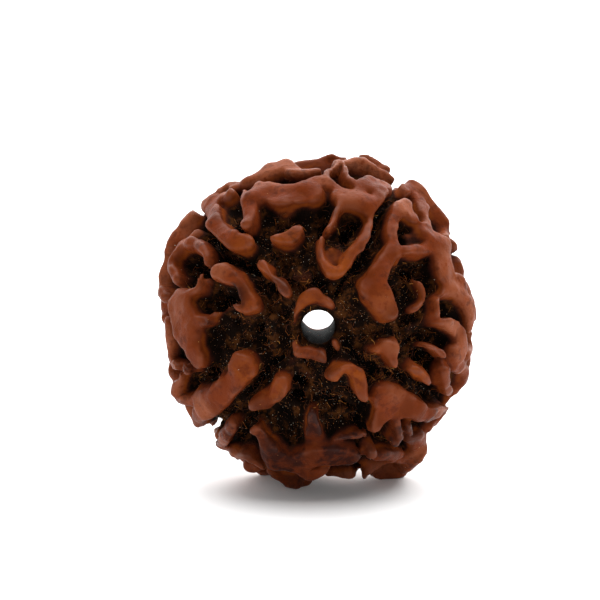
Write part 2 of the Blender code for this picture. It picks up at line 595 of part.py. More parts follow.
def main():
    for thing in list(bpy.data.objects):
        bpy.data.objects.remove(thing)
    parts = make_collection("rudraksha seed")
    cutters = make_collection("cutters")

    mesh = seed_field().mesh("seed")
    keep_largest_body(mesh)
    tip = Matrix.Rotation(math.radians(-TIP_DEGREES), 4, "X")
    mesh.transform(tip)
    seed = bpy.data.objects.new("seed", mesh)
    parts.objects.link(seed)

    thin = seed.modifiers.new("thin", "DECIMATE")
    triangles = sum(len(face.vertices) - 2 for face in mesh.polygons)
    thin.ratio = TARGET_TRIANGLES / triangles
    apply_modifiers(seed)

    slope = math.atan2(HOLE_FAR_Z - HOLE_NEAR_Z, 2.0 * HALF_DEPTH)
    bm = bmesh.new()
    bmesh.ops.create_cone(
        bm, cap_ends=True, segments=32, radius1=HOLE_RADIUS * MM, radius2=HOLE_RADIUS * MM,
        depth=2.0 * HOLE_HALF_LENGTH * MM,
    )
    along_hole = tip @ Matrix.Rotation(slope - math.pi / 2.0, 4, "X")
    cut(seed, make_cutter("threading_hole_cutter", bm, cutters, along_hole))
    apply_modifiers(seed)

    lowest = min(vertex.co.z for vertex in seed.data.vertices)
    rest = lowest + FLAT_DEPTH * MM
    bm = bmesh.new()
    bmesh.ops.create_cube(bm, size=1.0)
    place = Matrix.Translation((0.0, 0.0, rest - BLOCK_HEIGHT / 2.0 * MM))
    size = Matrix.Diagonal((BLOCK_SIDE * MM, BLOCK_SIDE * MM, BLOCK_HEIGHT * MM, 1.0))
    bm.transform(place @ size)
    cut(seed, make_cutter("resting_flat_cutter", bm, cutters, Matrix.Identity(4)))
    apply_modifiers(seed)

    corners = np.array([vertex.co for vertex in seed.data.vertices])
    low, high = corners.min(axis=0), corners.max(axis=0)
    middle = (low + high) / 2.0
    to_origin = Matrix.Translation((-middle[0], -middle[1], -low[2]))
    seed.data.transform(to_origin)
    for cutter in cutters.objects:
        cutter.matrix_world = to_origin @ cutter.matrix_world

    seed.data.shade_smooth()
    seed.data.set_sharp_from_angle(angle=math.radians(SHARP_DEGREES))
    seed.data.materials.clear()
    seed.data.materials.append(woody_brown())


main()
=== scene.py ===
import math

import bmesh
import bpy
import numpy as np
import openvdb
from mathutils import Matrix, Vector


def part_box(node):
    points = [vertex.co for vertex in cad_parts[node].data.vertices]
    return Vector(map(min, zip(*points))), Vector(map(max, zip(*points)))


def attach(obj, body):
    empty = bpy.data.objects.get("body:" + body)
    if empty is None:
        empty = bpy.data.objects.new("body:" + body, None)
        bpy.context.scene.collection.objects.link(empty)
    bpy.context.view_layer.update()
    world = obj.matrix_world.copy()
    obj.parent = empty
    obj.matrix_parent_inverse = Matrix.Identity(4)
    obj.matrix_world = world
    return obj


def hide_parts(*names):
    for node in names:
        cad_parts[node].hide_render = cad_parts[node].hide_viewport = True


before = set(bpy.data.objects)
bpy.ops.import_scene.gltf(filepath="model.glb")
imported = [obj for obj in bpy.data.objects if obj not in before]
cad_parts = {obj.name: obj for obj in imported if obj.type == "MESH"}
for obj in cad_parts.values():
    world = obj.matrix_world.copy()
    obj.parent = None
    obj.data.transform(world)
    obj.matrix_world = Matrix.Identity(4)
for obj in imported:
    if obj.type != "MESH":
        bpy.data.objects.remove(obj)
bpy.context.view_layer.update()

# Stone: the woody stone of one fruit, grown in one piece, 20 mm across. Winding ridges with rounded
# tops stand on a rough core, and five furrows part them into faces. It was cleaned of its pulp,
# drilled from end to end and rubbed with oil, which leaves the ridges waxy. The hollows' dark is
# partly their own crust and partly painted shade.
#
# Sizes are in mm. The stone's own axes are x to the right, y along the hole and away from the near
# end, and z up. It lies tipped forward about X, on ridge tips that are worn flat.
MM = 0.001
HALF_WIDTH = 9.9
HALF_DEPTH = 8.5
HALF_HEIGHT = 10.2
CORE_DEPTH = 2.0
ROOT_DEPTH = 2.7
FURROW_DEPTH = 2.7
PIT_DEPTH = 3.1
TIP_DEGREES = 12.0
WORN_DEPTH = 0.25
HOLE_RADIUS = 1.05
HOLE_NEAR_Z = -0.5
HOLE_FAR_Z = 0.5

# Ridges of the near end: points of (x, z, half-width) in mm, each on the middle of a ridge as seen
# along the hole. A fourth number is how far behind the widest section the point lies.
CROWN_FACE = [
    [(-3.9, 8.2, 0.40), (-4.05, 7.3, 0.35), (-4.15, 6.5, 0.35), (-4.3, 5.8, 0.30)],
    [(-3.6, 7.9, 0.75), (-2.6, 7.85, 0.85), (-1.6, 7.8, 0.85), (-0.7, 7.8, 0.80)],
    [
        (-0.7, 8.2, 0.50), (0.1, 8.6, 0.45), (0.7, 8.25, 0.35), (1.4, 7.95, 0.30), (2.2, 7.7, 0.45),
        (2.9, 7.3, 0.50),
    ],
    [
        (3.9, 7.9, 0.45), (3.5, 7.1, 0.45), (3.2, 6.2, 0.38), (2.85, 5.3, 0.30), (2.5, 4.6, 0.28),
        (2.1, 4.0, 0.22), (1.7, 3.4, 0.22), (1.2, 3.1, 0.22), (0.7, 3.2, 0.22), (0.35, 3.75, 0.18),
        (0.25, 4.4, 0.10), (0.35, 5.0, 0.06),
    ],
    [(1.3, 7.7, 0.40), (2.1, 7.35, 0.50), (2.9, 6.9, 0.50)],
    [(1.5, 7.4, 0.12), (1.35, 6.8, 0.06), (1.1, 6.1, 0.06), (0.75, 5.6, 0.06)],
    [(1.3, 9.75, 0.16), (0.75, 9.5, 0.16), (0.45, 9.05, 0.14), (0.55, 8.6, 0.14)],
    [(1.3, 9.75, 0.18), (2.1, 9.75, 0.20), (3.0, 9.6, 0.34), (3.8, 9.25, 0.50), (4.4, 8.9, 0.45)],
    [(1.5, 9.75, 0.08), (1.8, 9.0, 0.05), (2.2, 8.1, 0.06)],
    [(2.6, 8.2, 0.40), (3.3, 8.4, 0.65), (4.0, 8.5, 0.60)],
    [(0.0, 9.95, 0.35, 1.4), (0.7, 10.25, 0.42, 1.6), (1.4, 10.1, 0.30, 1.6)],
    [
        (-5.0, 8.5, 0.50), (-4.0, 8.9, 0.50), (-3.0, 9.2, 0.50), (-2.0, 9.5, 0.55), (-1.0, 9.3, 0.45),
        (-0.2, 9.35, 0.40),
    ],
    [(2.7, 10.1, 0.30, 1.8), (3.4, 9.95, 0.35, 1.8), (4.25, 9.55, 0.30, 1.8)],
    [(-3.1, 5.2, 0.06), (-2.3, 5.2, 0.32), (-1.5, 5.3, 0.55)],
    [(-3.4, 3.4, 0.42), (-3.05, 2.85, 0.30), (-2.4, 2.2, 0.18), (-1.9, 1.6, 0.12)],
    [
        (-6.8, 7.4, 0.50), (-6.6, 6.8, 0.46), (-6.4, 6.2, 0.46), (-5.95, 5.5, 0.46), (-5.4, 5.0, 0.42),
        (-4.7, 4.6, 0.38), (-4.25, 4.7, 0.25),
    ],
    [(-6.7, 7.6, 0.40), (-6.1, 7.7, 0.45), (-5.6, 7.7, 0.40)],
    [(-6.0, 8.3, 0.30), (-5.5, 8.5, 0.30), (-5.0, 8.5, 0.30)],
    [(-4.65, 8.1, 0.22), (-4.5, 7.5, 0.18), (-4.4, 7.0, 0.12)],
]
LEFT_FACE = [
    [
        (-7.9, 6.6, 0.32), (-8.7, 5.7, 0.28), (-9.3, 4.8, 0.26), (-9.6, 3.9, 0.28), (-9.75, 3.0, 0.34),
        (-9.65, 2.2, 0.35), (-9.5, 1.5, 0.25),
    ],
    [
        (-7.7, 5.8, 0.25), (-8.05, 5.3, 0.34), (-8.4, 4.6, 0.38), (-8.8, 3.9, 0.34), (-9.0, 3.2, 0.32),
        (-8.8, 2.6, 0.28),
    ],
    [(-8.2, 4.9, 0.34), (-7.7, 4.85, 0.34), (-7.2, 4.5, 0.24), (-6.95, 4.0, 0.18), (-7.0, 3.6, 0.12)],
    [(-7.1, 3.0, 0.06), (-7.35, 2.6, 0.12), (-7.5, 2.1, 0.08), (-8.1, 1.65, 0.14), (-8.7, 1.3, 0.30)],
    [(-8.7, 0.8, 0.95), (-8.3, -0.2, 1.05), (-7.9, -1.0, 0.90), (-7.55, -1.8, 0.52), (-7.3, -2.5, 0.30)],
    [(-7.6, -0.1, 0.40), (-7.0, 0.15, 0.15), (-6.5, 0.6, 0.08), (-6.0, 0.8, 0.06)],
    [(-7.2, -0.1, 0.25), (-6.8, -0.1, 0.25)],
    [
        (-6.2, 2.95, 0.42), (-5.7, 2.75, 0.46), (-5.1, 2.3, 0.46), (-4.65, 1.6, 0.42), (-4.4, 0.95, 0.46),
        (-4.9, 0.62, 0.30), (-5.3, 0.85, 0.18),
    ],
    [(-9.3, -0.2, 0.30), (-9.3, -1.0, 0.35), (-9.35, -1.8, 0.38), (-9.2, -2.5, 0.35), (-8.8, -3.0, 0.30)],
    [(-8.5, -3.4, 0.22), (-8.65, -4.0, 0.25), (-8.5, -4.7, 0.28), (-8.1, -5.0, 0.30)],
    [(-8.2, -2.5, 0.15), (-7.9, -2.9, 0.20)],
    [
        (-4.7, -2.8, 0.70), (-5.1, -3.5, 0.70), (-5.7, -4.3, 0.65), (-6.4, -5.0, 0.60),
        (-7.0, -5.5, 0.60), (-7.4, -6.1, 0.40), (-7.35, -6.6, 0.30),
    ],
    [(-6.8, -4.8, 0.40), (-7.5, -4.75, 0.40), (-8.1, -4.95, 0.35)],
]
LOWER_FACE = [
    [
        (-5.3, -6.4, 0.24), (-5.65, -7.1, 0.26), (-6.2, -7.75, 0.42), (-5.55, -8.2, 0.48),
        (-4.9, -8.45, 0.45), (-4.3, -8.4, 0.35),
    ],
    [(-4.1, -9.1, 0.32), (-3.7, -9.2, 0.30)],
    [
        (-4.1, -8.4, 0.20), (-3.6, -8.9, 0.22), (-3.0, -9.4, 0.25), (-2.4, -9.85, 0.32),
        (-1.7, -10.25, 0.45),
    ],
    [
        (-3.7, -6.75, 0.33), (-3.2, -7.4, 0.50), (-2.8, -8.2, 0.75), (-2.0, -8.7, 0.65),
        (-1.0, -8.6, 0.65), (0.0, -8.4, 0.80), (1.0, -8.3, 0.80), (1.8, -8.4, 0.60),
    ],
    [(-0.8, -9.2, 0.35), (-0.2, -9.4, 0.30), (0.3, -9.2, 0.30)],
    [(-2.4, -3.9, 0.40), (-2.8, -4.4, 0.42), (-3.4, -4.9, 0.35), (-3.95, -5.2, 0.25)],
    [(0.95, -3.3, 0.34), (1.5, -2.85, 0.36), (2.1, -3.25, 0.36), (2.6, -3.95, 0.32), (2.95, -4.6, 0.18)],
]
LOWER_RIGHT_FACE = [
    [(4.2, -4.7, 0.60), (5.1, -4.8, 0.65), (5.9, -5.1, 0.55), (6.6, -5.6, 0.42)],
    [(4.2, -4.9, 0.65), (3.95, -5.6, 0.60), (3.7, -6.4, 0.35)],
    [(4.6, -5.4, 0.60), (5.3, -5.4, 0.50)],
    [(6.7, -5.7, 0.40), (7.4, -5.6, 0.50), (7.9, -5.7, 0.45), (7.5, -6.3, 0.45), (7.0, -6.8, 0.35)],
    [(4.9, -6.1, 0.12), (5.0, -6.9, 0.14)],
    [(5.1, -7.2, 0.04), (4.7, -7.6, 0.04)],
    [(5.75, -6.3, 0.05), (5.8, -6.9, 0.05)],
    [
        (5.7, -7.2, 0.30), (6.05, -7.7, 0.35), (5.8, -8.3, 0.40), (5.2, -8.5, 0.45), (4.5, -8.4, 0.40),
        (3.8, -8.3, 0.30),
    ],
    [(2.9, -9.45, 0.40, 2.6), (4.0, -9.65, 0.42, 3.2), (5.0, -9.55, 0.42, 3.2)],
    [
        (6.2, -7.0, 0.25), (6.4, -7.7, 0.30), (6.35, -8.4, 0.30), (6.0, -9.0, 0.35, 1.0),
        (5.5, -9.35, 0.32, 2.4),
    ],
    [(3.15, -8.0, 0.14), (3.15, -8.25, 0.12)],
]
RIGHT_FACE = [
    [(3.35, -1.8, 0.20), (4.1, -1.6, 0.42), (4.7, -1.5, 0.36)],
    [(4.5, -1.9, 0.45), (4.85, -2.6, 0.20)],
    [(5.8, -2.85, 0.24), (6.3, -3.3, 0.14), (6.8, -3.75, 0.03)],
    [(6.7, -1.7, 0.06), (7.2, -1.75, 0.16), (7.6, -1.95, 0.28)],
    [(7.5, -0.2, 0.18), (8.3, -0.4, 0.40), (8.8, -0.8, 0.55), (8.9, -1.5, 0.55), (8.6, -1.9, 0.45)],
    [
        (7.6, 4.4, 0.60), (7.8, 3.6, 0.70), (8.1, 2.8, 0.80), (8.6, 2.0, 0.70), (9.0, 1.2, 0.55),
        (9.3, 0.4, 0.50), (9.5, -0.3, 0.40),
    ],
    [(8.8, 2.6, 0.30), (9.3, 1.9, 0.30), (9.6, 1.1, 0.32), (9.7, 0.3, 0.32)],
    [(8.3, 2.0, 0.30), (7.7, 1.6, 0.22), (7.3, 1.2, 0.20), (7.3, 0.5, 0.20)],
    [(9.6, -0.8, 0.30), (9.55, -1.5, 0.35), (9.2, -2.1, 0.30)],
    [(7.75, -3.0, 0.30), (7.85, -3.7, 0.35), (8.1, -4.3, 0.35)],
    [(8.6, -2.6, 0.30), (9.1, -3.3, 0.35), (9.15, -3.7, 0.35), (8.8, -4.2, 0.35)],
    [
        (5.4, 7.3, 0.40), (4.95, 6.5, 0.42), (4.55, 5.6, 0.40), (4.55, 4.7, 0.38), (4.3, 4.0, 0.42),
        (3.7, 3.2, 0.50), (3.2, 2.3, 0.72), (3.7, 1.5, 0.66), (4.2, 0.7, 0.62),
    ],
    [(5.3, 7.1, 0.45), (5.8, 6.5, 0.45)],
    [(4.75, 4.3, 0.22), (4.8, 3.9, 0.22)],
    [(3.1, 2.4, 0.50), (2.85, 2.3, 0.45)],
    [
        (5.3, 8.15, 0.40), (5.9, 8.0, 0.50), (6.3, 7.4, 0.50), (6.6, 6.7, 0.48), (6.8, 6.2, 0.40),
        (6.5, 5.7, 0.35),
    ],
    [
        (5.9, 8.4, 0.40), (6.7, 7.9, 0.40), (7.4, 7.2, 0.42), (7.8, 6.5, 0.42), (8.0, 5.7, 0.45),
        (8.05, 5.2, 0.35),
    ],
    [(6.6, 5.4, 0.30), (7.2, 5.1, 0.40), (7.8, 4.6, 0.45), (8.0, 3.9, 0.45), (8.0, 3.2, 0.50)],
    [(7.2, 4.8, 0.35), (6.5, 4.6, 0.35), (5.8, 4.4, 0.30), (5.3, 4.2, 0.25)],
]

# Lower ridges: the broken lip round the hole, low humps, and shelves, which are thin rims and broad
# steps between the ridges. A drop is how far their tops lie below the other ridges' tops.
LIP = [
    [(-1.5, -0.1, 0.20), (-1.25, 0.6, 0.28), (-0.8, 1.15, 0.30), (-0.2, 1.5, 0.30)],
    [(0.45, 1.1, 0.28), (0.75, 0.9, 0.20)],
    [(-1.3, -1.5, 0.25), (-1.2, -1.9, 0.20)],
    [(-0.5, -1.95, 0.25), (0.2, -2.1, 0.20)],
    [(1.1, -1.5, 0.20), (1.25, -1.7, 0.20)],
]
LIP_DROP = 0.6
HUMPS = [
    [(-1.5, 2.8, 0.40), (-0.7, 2.8, 0.45)],
    [(-2.9, 0.2, 0.40), (-2.8, -1.3, 0.40)],
    [(1.3, 1.8, 0.40), (1.5, 2.0, 0.40)],
    [(1.3, 4.6, 0.60), (1.8, 5.3, 0.60)],
    [(-6.0, 6.6, 0.50), (-5.4, 6.0, 0.40)],
    [(-1.4, -2.6, 0.35), (-0.9, -3.2, 0.35)],
    [(5.6, -0.6, 0.40), (6.4, -0.3, 0.40)],
    [(7.3, -4.6, 0.50), (8.2, -4.9, 0.45)],
]
HUMP_DROP = 1.3
SHELVES = [
    [(5.85, 2.75, 0.05), (6.2, 2.35, 0.06), (6.4, 1.7, 0.07), (6.2, 1.1, 0.07), (5.8, 0.55, 0.05)],
    [(1.0, -7.25, 0.04), (1.8, -7.1, 0.04), (2.7, -6.9, 0.06)],
    [(1.05, 3.6, 0.45), (1.2, 3.85, 0.40)],
    [(-0.6, -5.6, 0.45), (-0.5, -6.3, 0.55), (-0.2, -7.1, 0.60), (0.2, -7.8, 0.60)],
    [(5.7, 4.95, 0.40), (6.7, 5.0, 0.45)],
]
SHELF_DROP = 0.55

# Furrows of the near end, from the hole outwards, as points of (x, z, half-width, depth)
FURROWS = [
    [
        (1.2, 2.0, 0.25, 2.4), (2.0, 3.0, 0.28, 2.6), (2.6, 3.8, 0.30, 2.6), (3.4, 5.2, 0.32, 2.5),
        (3.9, 6.6, 0.34, 2.2), (4.5, 7.7, 0.26, 1.5), (5.0, 8.75, 0.15, 0.5),
    ],
    [
        (-2.6, 2.0, 0.25, 2.4), (-3.9, 2.9, 0.25, 2.5), (-4.3, 3.4, 0.28, 2.5), (-5.2, 3.9, 0.28, 2.4),
        (-6.0, 4.5, 0.30, 2.2), (-6.9, 5.6, 0.28, 1.2), (-7.4, 6.8, 0.16, 0.4),
    ],
    [
        (-2.2, -2.4, 0.25, 2.4), (-3.0, -2.9, 0.28, 2.6), (-3.6, -3.5, 0.30, 2.6),
        (-4.8, -4.8, 0.30, 2.6), (-5.5, -5.6, 0.30, 1.4), (-6.1, -6.3, 0.28, 1.5),
        (-6.6, -6.85, 0.55, 1.6), (-7.1, -7.35, 0.85, 1.5),
    ],
    [
        (2.2, -4.9, 0.25, 2.4), (3.3, -5.2, 0.25, 2.4), (3.2, -6.2, 0.28, 2.4), (2.9, -7.3, 0.28, 2.4),
        (2.55, -8.8, 0.24, 0.9),
    ],
    [
        (1.6, -1.7, 0.28, 2.4), (2.6, -2.45, 0.30, 2.4), (3.6, -3.2, 0.34, 2.2), (5.0, -3.65, 0.32, 2.0),
        (6.6, -4.4, 0.28, 1.3), (8.4, -5.1, 0.20, 0.4),
    ],
]
# The furrows' directions from the hole, and how much deeper each gets from point to point behind
# the waist
FURROW_DEGREES = (60.0, 139.0, 225.0, 286.0, 329.0)
FURROW_FALL = 0.5

# Pits between the ridges, as (x, z, half-width)
PITS = [
    (1.12, 8.9, 0.50), (2.5, 9.1, 0.50), (0.6, 7.15, 0.55), (0.45, 6.5, 0.50), (2.15, 6.5, 0.50),
    (2.0, 6.0, 0.50), (5.3, 2.0, 0.72), (5.35, 1.2, 0.62), (6.6, 3.2, 0.75), (5.6, 5.3, 0.30),
    (7.35, 6.2, 0.28), (8.2, 0.8, 0.50), (7.5, -2.75, 0.22), (-7.9, 3.2, 0.55), (-7.7, 3.7, 0.42),
    (-7.1, 1.5, 0.70), (-7.1, 0.9, 0.40), (-5.5, 1.8, 0.26), (-4.4, -0.5, 0.40), (-8.6, -2.2, 0.38),
    (-7.75, -3.75, 0.60), (-7.1, -4.0, 0.35), (-6.7, -5.1, 0.12), (-5.1, -7.5, 0.40),
    (-4.8, -7.35, 0.42), (-4.4, -6.8, 0.36), (-2.0, -9.4, 0.25), (-1.4, -4.2, 0.70),
    (-1.5, -5.4, 0.65), (1.9, -6.3, 0.50), (2.5, -6.3, 0.40), (6.4, -6.4, 0.34), (3.9, -7.4, 0.50),
    (4.5, -7.3, 0.40), (4.1, -8.9, 0.35),
]

# The far end repeats the near end's pattern, turned by this many faces and over this share of the
# quarter turn to the waist
FACES_ROUND = 2
FAR_REACH = 0.88

# Ridges round the waist, between the near end's pattern and the far end's: shares of their spacing,
# degrees of bend, and mm behind the widest section
SIDE_RIDGES = 17
SIDE_HALF_WIDTHS = (0.38, 0.85)
SIDE_SPREAD = 0.2
SIDE_BEND_DEGREES = 9.0
SIDE_STARTS = (0.9, 1.5)
SIDE_ENDS = (2.8, 3.6)
SIDE_SEED = 11

# Feet that the seed rests on, and the back of its lowest knob: (x, z, half-width, y)
FEET = [
    [
        (-5.4, -7.3, 0.50, 3.4), (-4.5, -8.5, 0.60, 3.8), (-3.4, -9.25, 0.60, 4.2),
        (-2.5, -9.3, 0.60, 4.6), (-1.3, -8.95, 0.55, 4.8), (-0.3, -8.6, 0.50, 4.9),
    ],
    [(6.2, -7.6, 0.40, 2.6), (5.7, -8.8, 0.42, 3.2), (4.9, -9.4, 0.42, 3.8), (4.2, -9.1, 0.42, 4.6)],
    [(2.4, -9.2, 0.40, 2.2), (1.2, -9.2, 0.40, 3.0)],
    [(-1.7, -10.25, 0.45, 0.0), (-1.6, -10.2, 0.45, 0.9), (-1.3, -9.9, 0.45, 1.8)],
]

# Cross-section of a ridge or a pit, and the blend where shapes meet
EDGE_ROUND = 0.22
FLARE = 0.10
PIT_FLARE = 0.12
RIDGE_JOIN = 0.34
SWELL = 1.14
CUT_JOIN = 0.14

# The stone is made as a grid of distances to its surface, which is then turned into a mesh
VOXEL = 0.145
GRID_HALF = (11.6, 9.8, 11.8)
WINDOW_MARGIN = 0.7
BEND_STEPS = 3
FAR_OFF = 9.0
OPEN_AIR = 1.0
SPARE_CORNERS = 3
LEAST_SLOPE = 0.01
LEAST_LENGTH_SQUARED = 1e-9
STONE_TRIANGLES = 190000


def eased(values, low, high):
    """From 0 at low to 1 at high, and level at both ends."""
    share = np.clip((values - low) / (high - low), 0.0, 1.0)
    return share * share * (3.0 - 2.0 * share)


def soft_noise(cell, seed):
    """Random values from -1 to 1 on the corners of cells, eased in between, for every voxel."""
    shape = [int(count * VOXEL / cell) + SPARE_CORNERS for count in counts]
    values = np.random.default_rng(seed).uniform(-1.0, 1.0, shape)
    for axis, count in enumerate(counts):
        place = np.arange(count) * VOXEL / cell
        first = place.astype(int)
        share = eased(place - first, 0.0, 1.0)
        share = share.reshape([-1 if i == axis else 1 for i in range(3)])
        values = values.take(first, axis) * (1.0 - share) + values.take(first + 1, axis) * share
    return values.astype(np.float32)


def distance_to_oval(x, y, z, inset=0.0):
    """Distance to the stone's outer surface, or to one that lies inset inside it; negative inside."""
    radii = HALF_WIDTH - inset, HALF_DEPTH - inset, HALF_HEIGHT - inset
    scaled = sum((place / radius) ** 2 for place, radius in zip((x, y, z), radii)) ** 0.5
    slope = sum((place / radius**2) ** 2 for place, radius in zip((x, y, z), radii)) ** 0.5
    return scaled * (scaled - 1.0) / np.maximum(slope, LEAST_SLOPE)


def smooth_minimum(a, b, reach):
    """The lower of two distances, blended where they are within reach of each other."""
    blend = np.clip(0.5 + 0.5 * (b - a) / reach, 0.0, 1.0)
    return b + (a - b) * blend - reach * blend * (1.0 - blend)


def outward(point):
    """The outer surface's normal near a point."""
    slope = (point.x / HALF_WIDTH**2, point.y / HALF_DEPTH**2, point.z / HALF_HEIGHT**2)
    return Vector(slope).normalized()


def near_point(x, z, half_width, behind=None, drop=0.0):
    """The middle of a near ridge: inside the outer surface by its edge's radius and its drop."""
    inset = min(half_width, EDGE_ROUND) + drop
    wide, deep, tall = HALF_WIDTH - inset, HALF_DEPTH - inset, HALF_HEIGHT - inset
    if behind is None:
        behind = -deep * math.sqrt(max(0.0, 1.0 - (x / wide) ** 2 - (z / tall) ** 2))
    return Vector((x, behind, z))


def near_spines(ridges, drop=0.0):
    """Ridges of the near end, each as a list of (place, half-width)."""
    spines = []
    for ridge in ridges:
        spine = []
        for x, z, half_width, *behind in ridge:
            spine.append((near_point(x, z, half_width, *behind, drop=drop), half_width * SWELL))
        spines.append(spine)
    return spines


def far_place(point):
    """A place on the near end taken to the far end, some faces round, so that furrows meet furrows."""
    across = Vector((point.x / HALF_WIDTH, point.z / HALF_HEIGHT))
    reach = min(across.length, 1.0)
    across -= Vector((0.0, HOLE_NEAR_Z / HALF_HEIGHT)) * (1.0 - reach)
    angle = math.degrees(math.atan2(across.y, across.x)) % 360.0
    turned = FURROW_DEGREES[FACES_ROUND:]
    turned += tuple(degrees + 360.0 for degrees in FURROW_DEGREES[:FACES_ROUND + 1])
    starts = FURROW_DEGREES + (FURROW_DEGREES[0] + 360.0,)
    if angle < starts[0]:
        angle += 360.0
    angle = math.radians(float(np.interp(angle, starts, turned)))
    polar = math.asin(reach) * FAR_REACH
    return Vector((
        HALF_WIDTH * math.sin(polar) * math.cos(angle),
        HALF_DEPTH * math.cos(polar),
        HALF_HEIGHT * math.sin(polar) * math.sin(angle) + HOLE_FAR_Z * (1.0 - reach),
    ))


def far_spines(ridges, drop=0.0):
    """The same ridges at the far end."""
    spines = []
    for ridge in ridges:
        spine = []
        for point in ridge:
            half_width = point[2]
            place = far_place(near_point(point[0], point[1], half_width))
            inset = min(half_width, EDGE_ROUND) + drop
            spine.append((place - outward(place) * inset, half_width * SWELL))
        spines.append(spine)
    return spines


def side_spines():
    """Stout bent ridges round the waist, behind the widest section."""
    rng = np.random.default_rng(SIDE_SEED)
    spines = []
    for index in range(SIDE_RIDGES):
        degrees = 360.0 * (index + 0.5 + rng.uniform(-SIDE_SPREAD, SIDE_SPREAD)) / SIDE_RIDGES
        bend = rng.uniform(-SIDE_BEND_DEGREES, SIDE_BEND_DEGREES)
        start = rng.uniform(*SIDE_STARTS)
        end = rng.uniform(*SIDE_ENDS)
        spine = []
        for share in (0.0, 0.5, 1.0):
            angle = math.radians(degrees + bend * math.sin(math.pi * share))
            depth = start + (end - start) * share
            girth = math.sqrt(1.0 - (depth / HALF_DEPTH) ** 2)
            place = Vector((
                HALF_WIDTH * girth * math.cos(angle),
                depth,
                HALF_HEIGHT * girth * math.sin(angle),
            ))
            spine.append((place - outward(place) * EDGE_ROUND, rng.uniform(*SIDE_HALF_WIDTHS)))
        spines.append(spine)
    return spines


def smooth_path(points):
    """A path of (place, *sizes) through the given points, with rounded bends."""
    ends = [points[0]] + points + [points[-1]]
    path = []
    for before, start, end, after in zip(ends, ends[1:], ends[2:], ends[3:]):
        for step in range(BEND_STEPS):
            t = step / BEND_STEPS
            place = 0.5 * (
                2.0 * start[0]
                + (end[0] - before[0]) * t
                + (2.0 * before[0] - 5.0 * start[0] + 4.0 * end[0] - after[0]) * t**2
                + (3.0 * start[0] - before[0] - 3.0 * end[0] + after[0]) * t**3
            )
            path.append((place, *(a + (b - a) * t for a, b in zip(start[1:], end[1:]))))
    path.append(points[-1])
    return path


def window_round(points, half_width):
    """The part of the grid round some points."""
    slices = []
    for axis in range(3):
        low = min(point[axis] for point in points) - half_width - WINDOW_MARGIN
        high = max(point[axis] for point in points) + half_width + WINDOW_MARGIN
        slices.append(slice(*np.searchsorted(grid_axes[axis], (low, high))))
    return tuple(slices)


def offsets(window, start, end):
    """Each voxel's share of the way from start to end, height over that line and distance aside."""
    p = [place[window] for place in places]
    along = end - start
    length_squared = max(along.length_squared, LEAST_LENGTH_SQUARED)
    share = sum((p[i] - start[i]) * along[i] for i in range(3)) / length_squared
    share = np.clip(share, 0.0, 1.0)
    up = outward(start + along * 0.5)
    offset = [p[i] - start[i] - along[i] * share for i in range(3)]
    height = sum(offset[i] * up[i] for i in range(3))
    aside = sum((offset[i] - up[i] * height) ** 2 for i in range(3)) ** 0.5
    return share, height, aside


def along_path(path, reach, distance):
    """The part of the grid round a path, and there the least distance to any stretch of it."""
    roots = [point[0] - outward(point[0]) * reach for point in path]
    whole = window_round([point[0] for point in path] + roots, max(point[1] for point in path))
    nearest[whole] = FAR_OFF
    for start, end in zip(path, path[1:]):
        ends = [start[0], end[0]] + [point - outward(point) * reach for point in (start[0], end[0])]
        window = window_round(ends, max(start[1], end[1]))
        share, height, aside = offsets(window, start[0], end[0])
        sizes = [a + (b - a) * share for a, b in zip(start[1:], end[1:])]
        nearest[window] = np.minimum(nearest[window], distance(height, aside, *sizes))
    return whole, nearest[whole]


def ridge_distance(height, aside, half_width):
    """A ridge in section: a top with rounded edges, on walls that widen down to its root."""
    edge = np.minimum(half_width, EDGE_ROUND)
    top = np.hypot(np.maximum(aside - half_width + edge, 0.0), np.maximum(height, 0.0)) - edge
    wall = np.maximum(aside - half_width + FLARE * height, -height - ROOT_DEPTH)
    return np.where(height > 0.0, top, wall)


def furrow_distance(height, aside, half_width, depth):
    """A furrow in section: straight walls and a flat bottom."""
    return np.maximum(aside - half_width, -height - depth)


def add_ridge(spine):
    whole, ridge = along_path(smooth_path(spine), ROOT_DEPTH, ridge_distance)
    stone[whole] = smooth_minimum(stone[whole], ridge, RIDGE_JOIN)


def cut_furrow(line):
    whole, furrow = along_path(smooth_path(line), FURROW_DEPTH, furrow_distance)
    stone[whole] = -smooth_minimum(-stone[whole], furrow, CUT_JOIN)


def sink_pit(place, half_width):
    bottom = place - outward(place) * PIT_DEPTH
    window = window_round([place, bottom], half_width)
    height, aside = offsets(window, place, place)[1:]
    pit = np.maximum(aside - half_width * (1.0 + PIT_FLARE * height), -height - PIT_DEPTH)
    stone[window] = -smooth_minimum(-stone[window], pit, CUT_JOIN)


grid_axes = [np.arange(-half, half + VOXEL, VOXEL, dtype=np.float32) for half in GRID_HALF]
counts = [len(axis) for axis in grid_axes]
grid = np.meshgrid(*grid_axes, indexing="ij")
nearest = np.full(counts, FAR_OFF, dtype=np.float32)

# The whole stone is slightly warped, at two scales, and its core has lumps of (height, cell, seed)
BROAD_WARP = 0.24
BROAD_CELL = 1.8
FINE_WARP = 0.07
FINE_CELL = 0.60
LUMPS = ((0.38, 0.95, 23), (0.34, 0.45, 24))
places = [
    coordinate
    + BROAD_WARP * soft_noise(BROAD_CELL, seed)
    + FINE_WARP * soft_noise(FINE_CELL, seed + len(grid))
    for seed, coordinate in enumerate(grid)
]
stone = distance_to_oval(*places, CORE_DEPTH)
for height, cell, seed in LUMPS:
    stone += height * soft_noise(cell, seed)

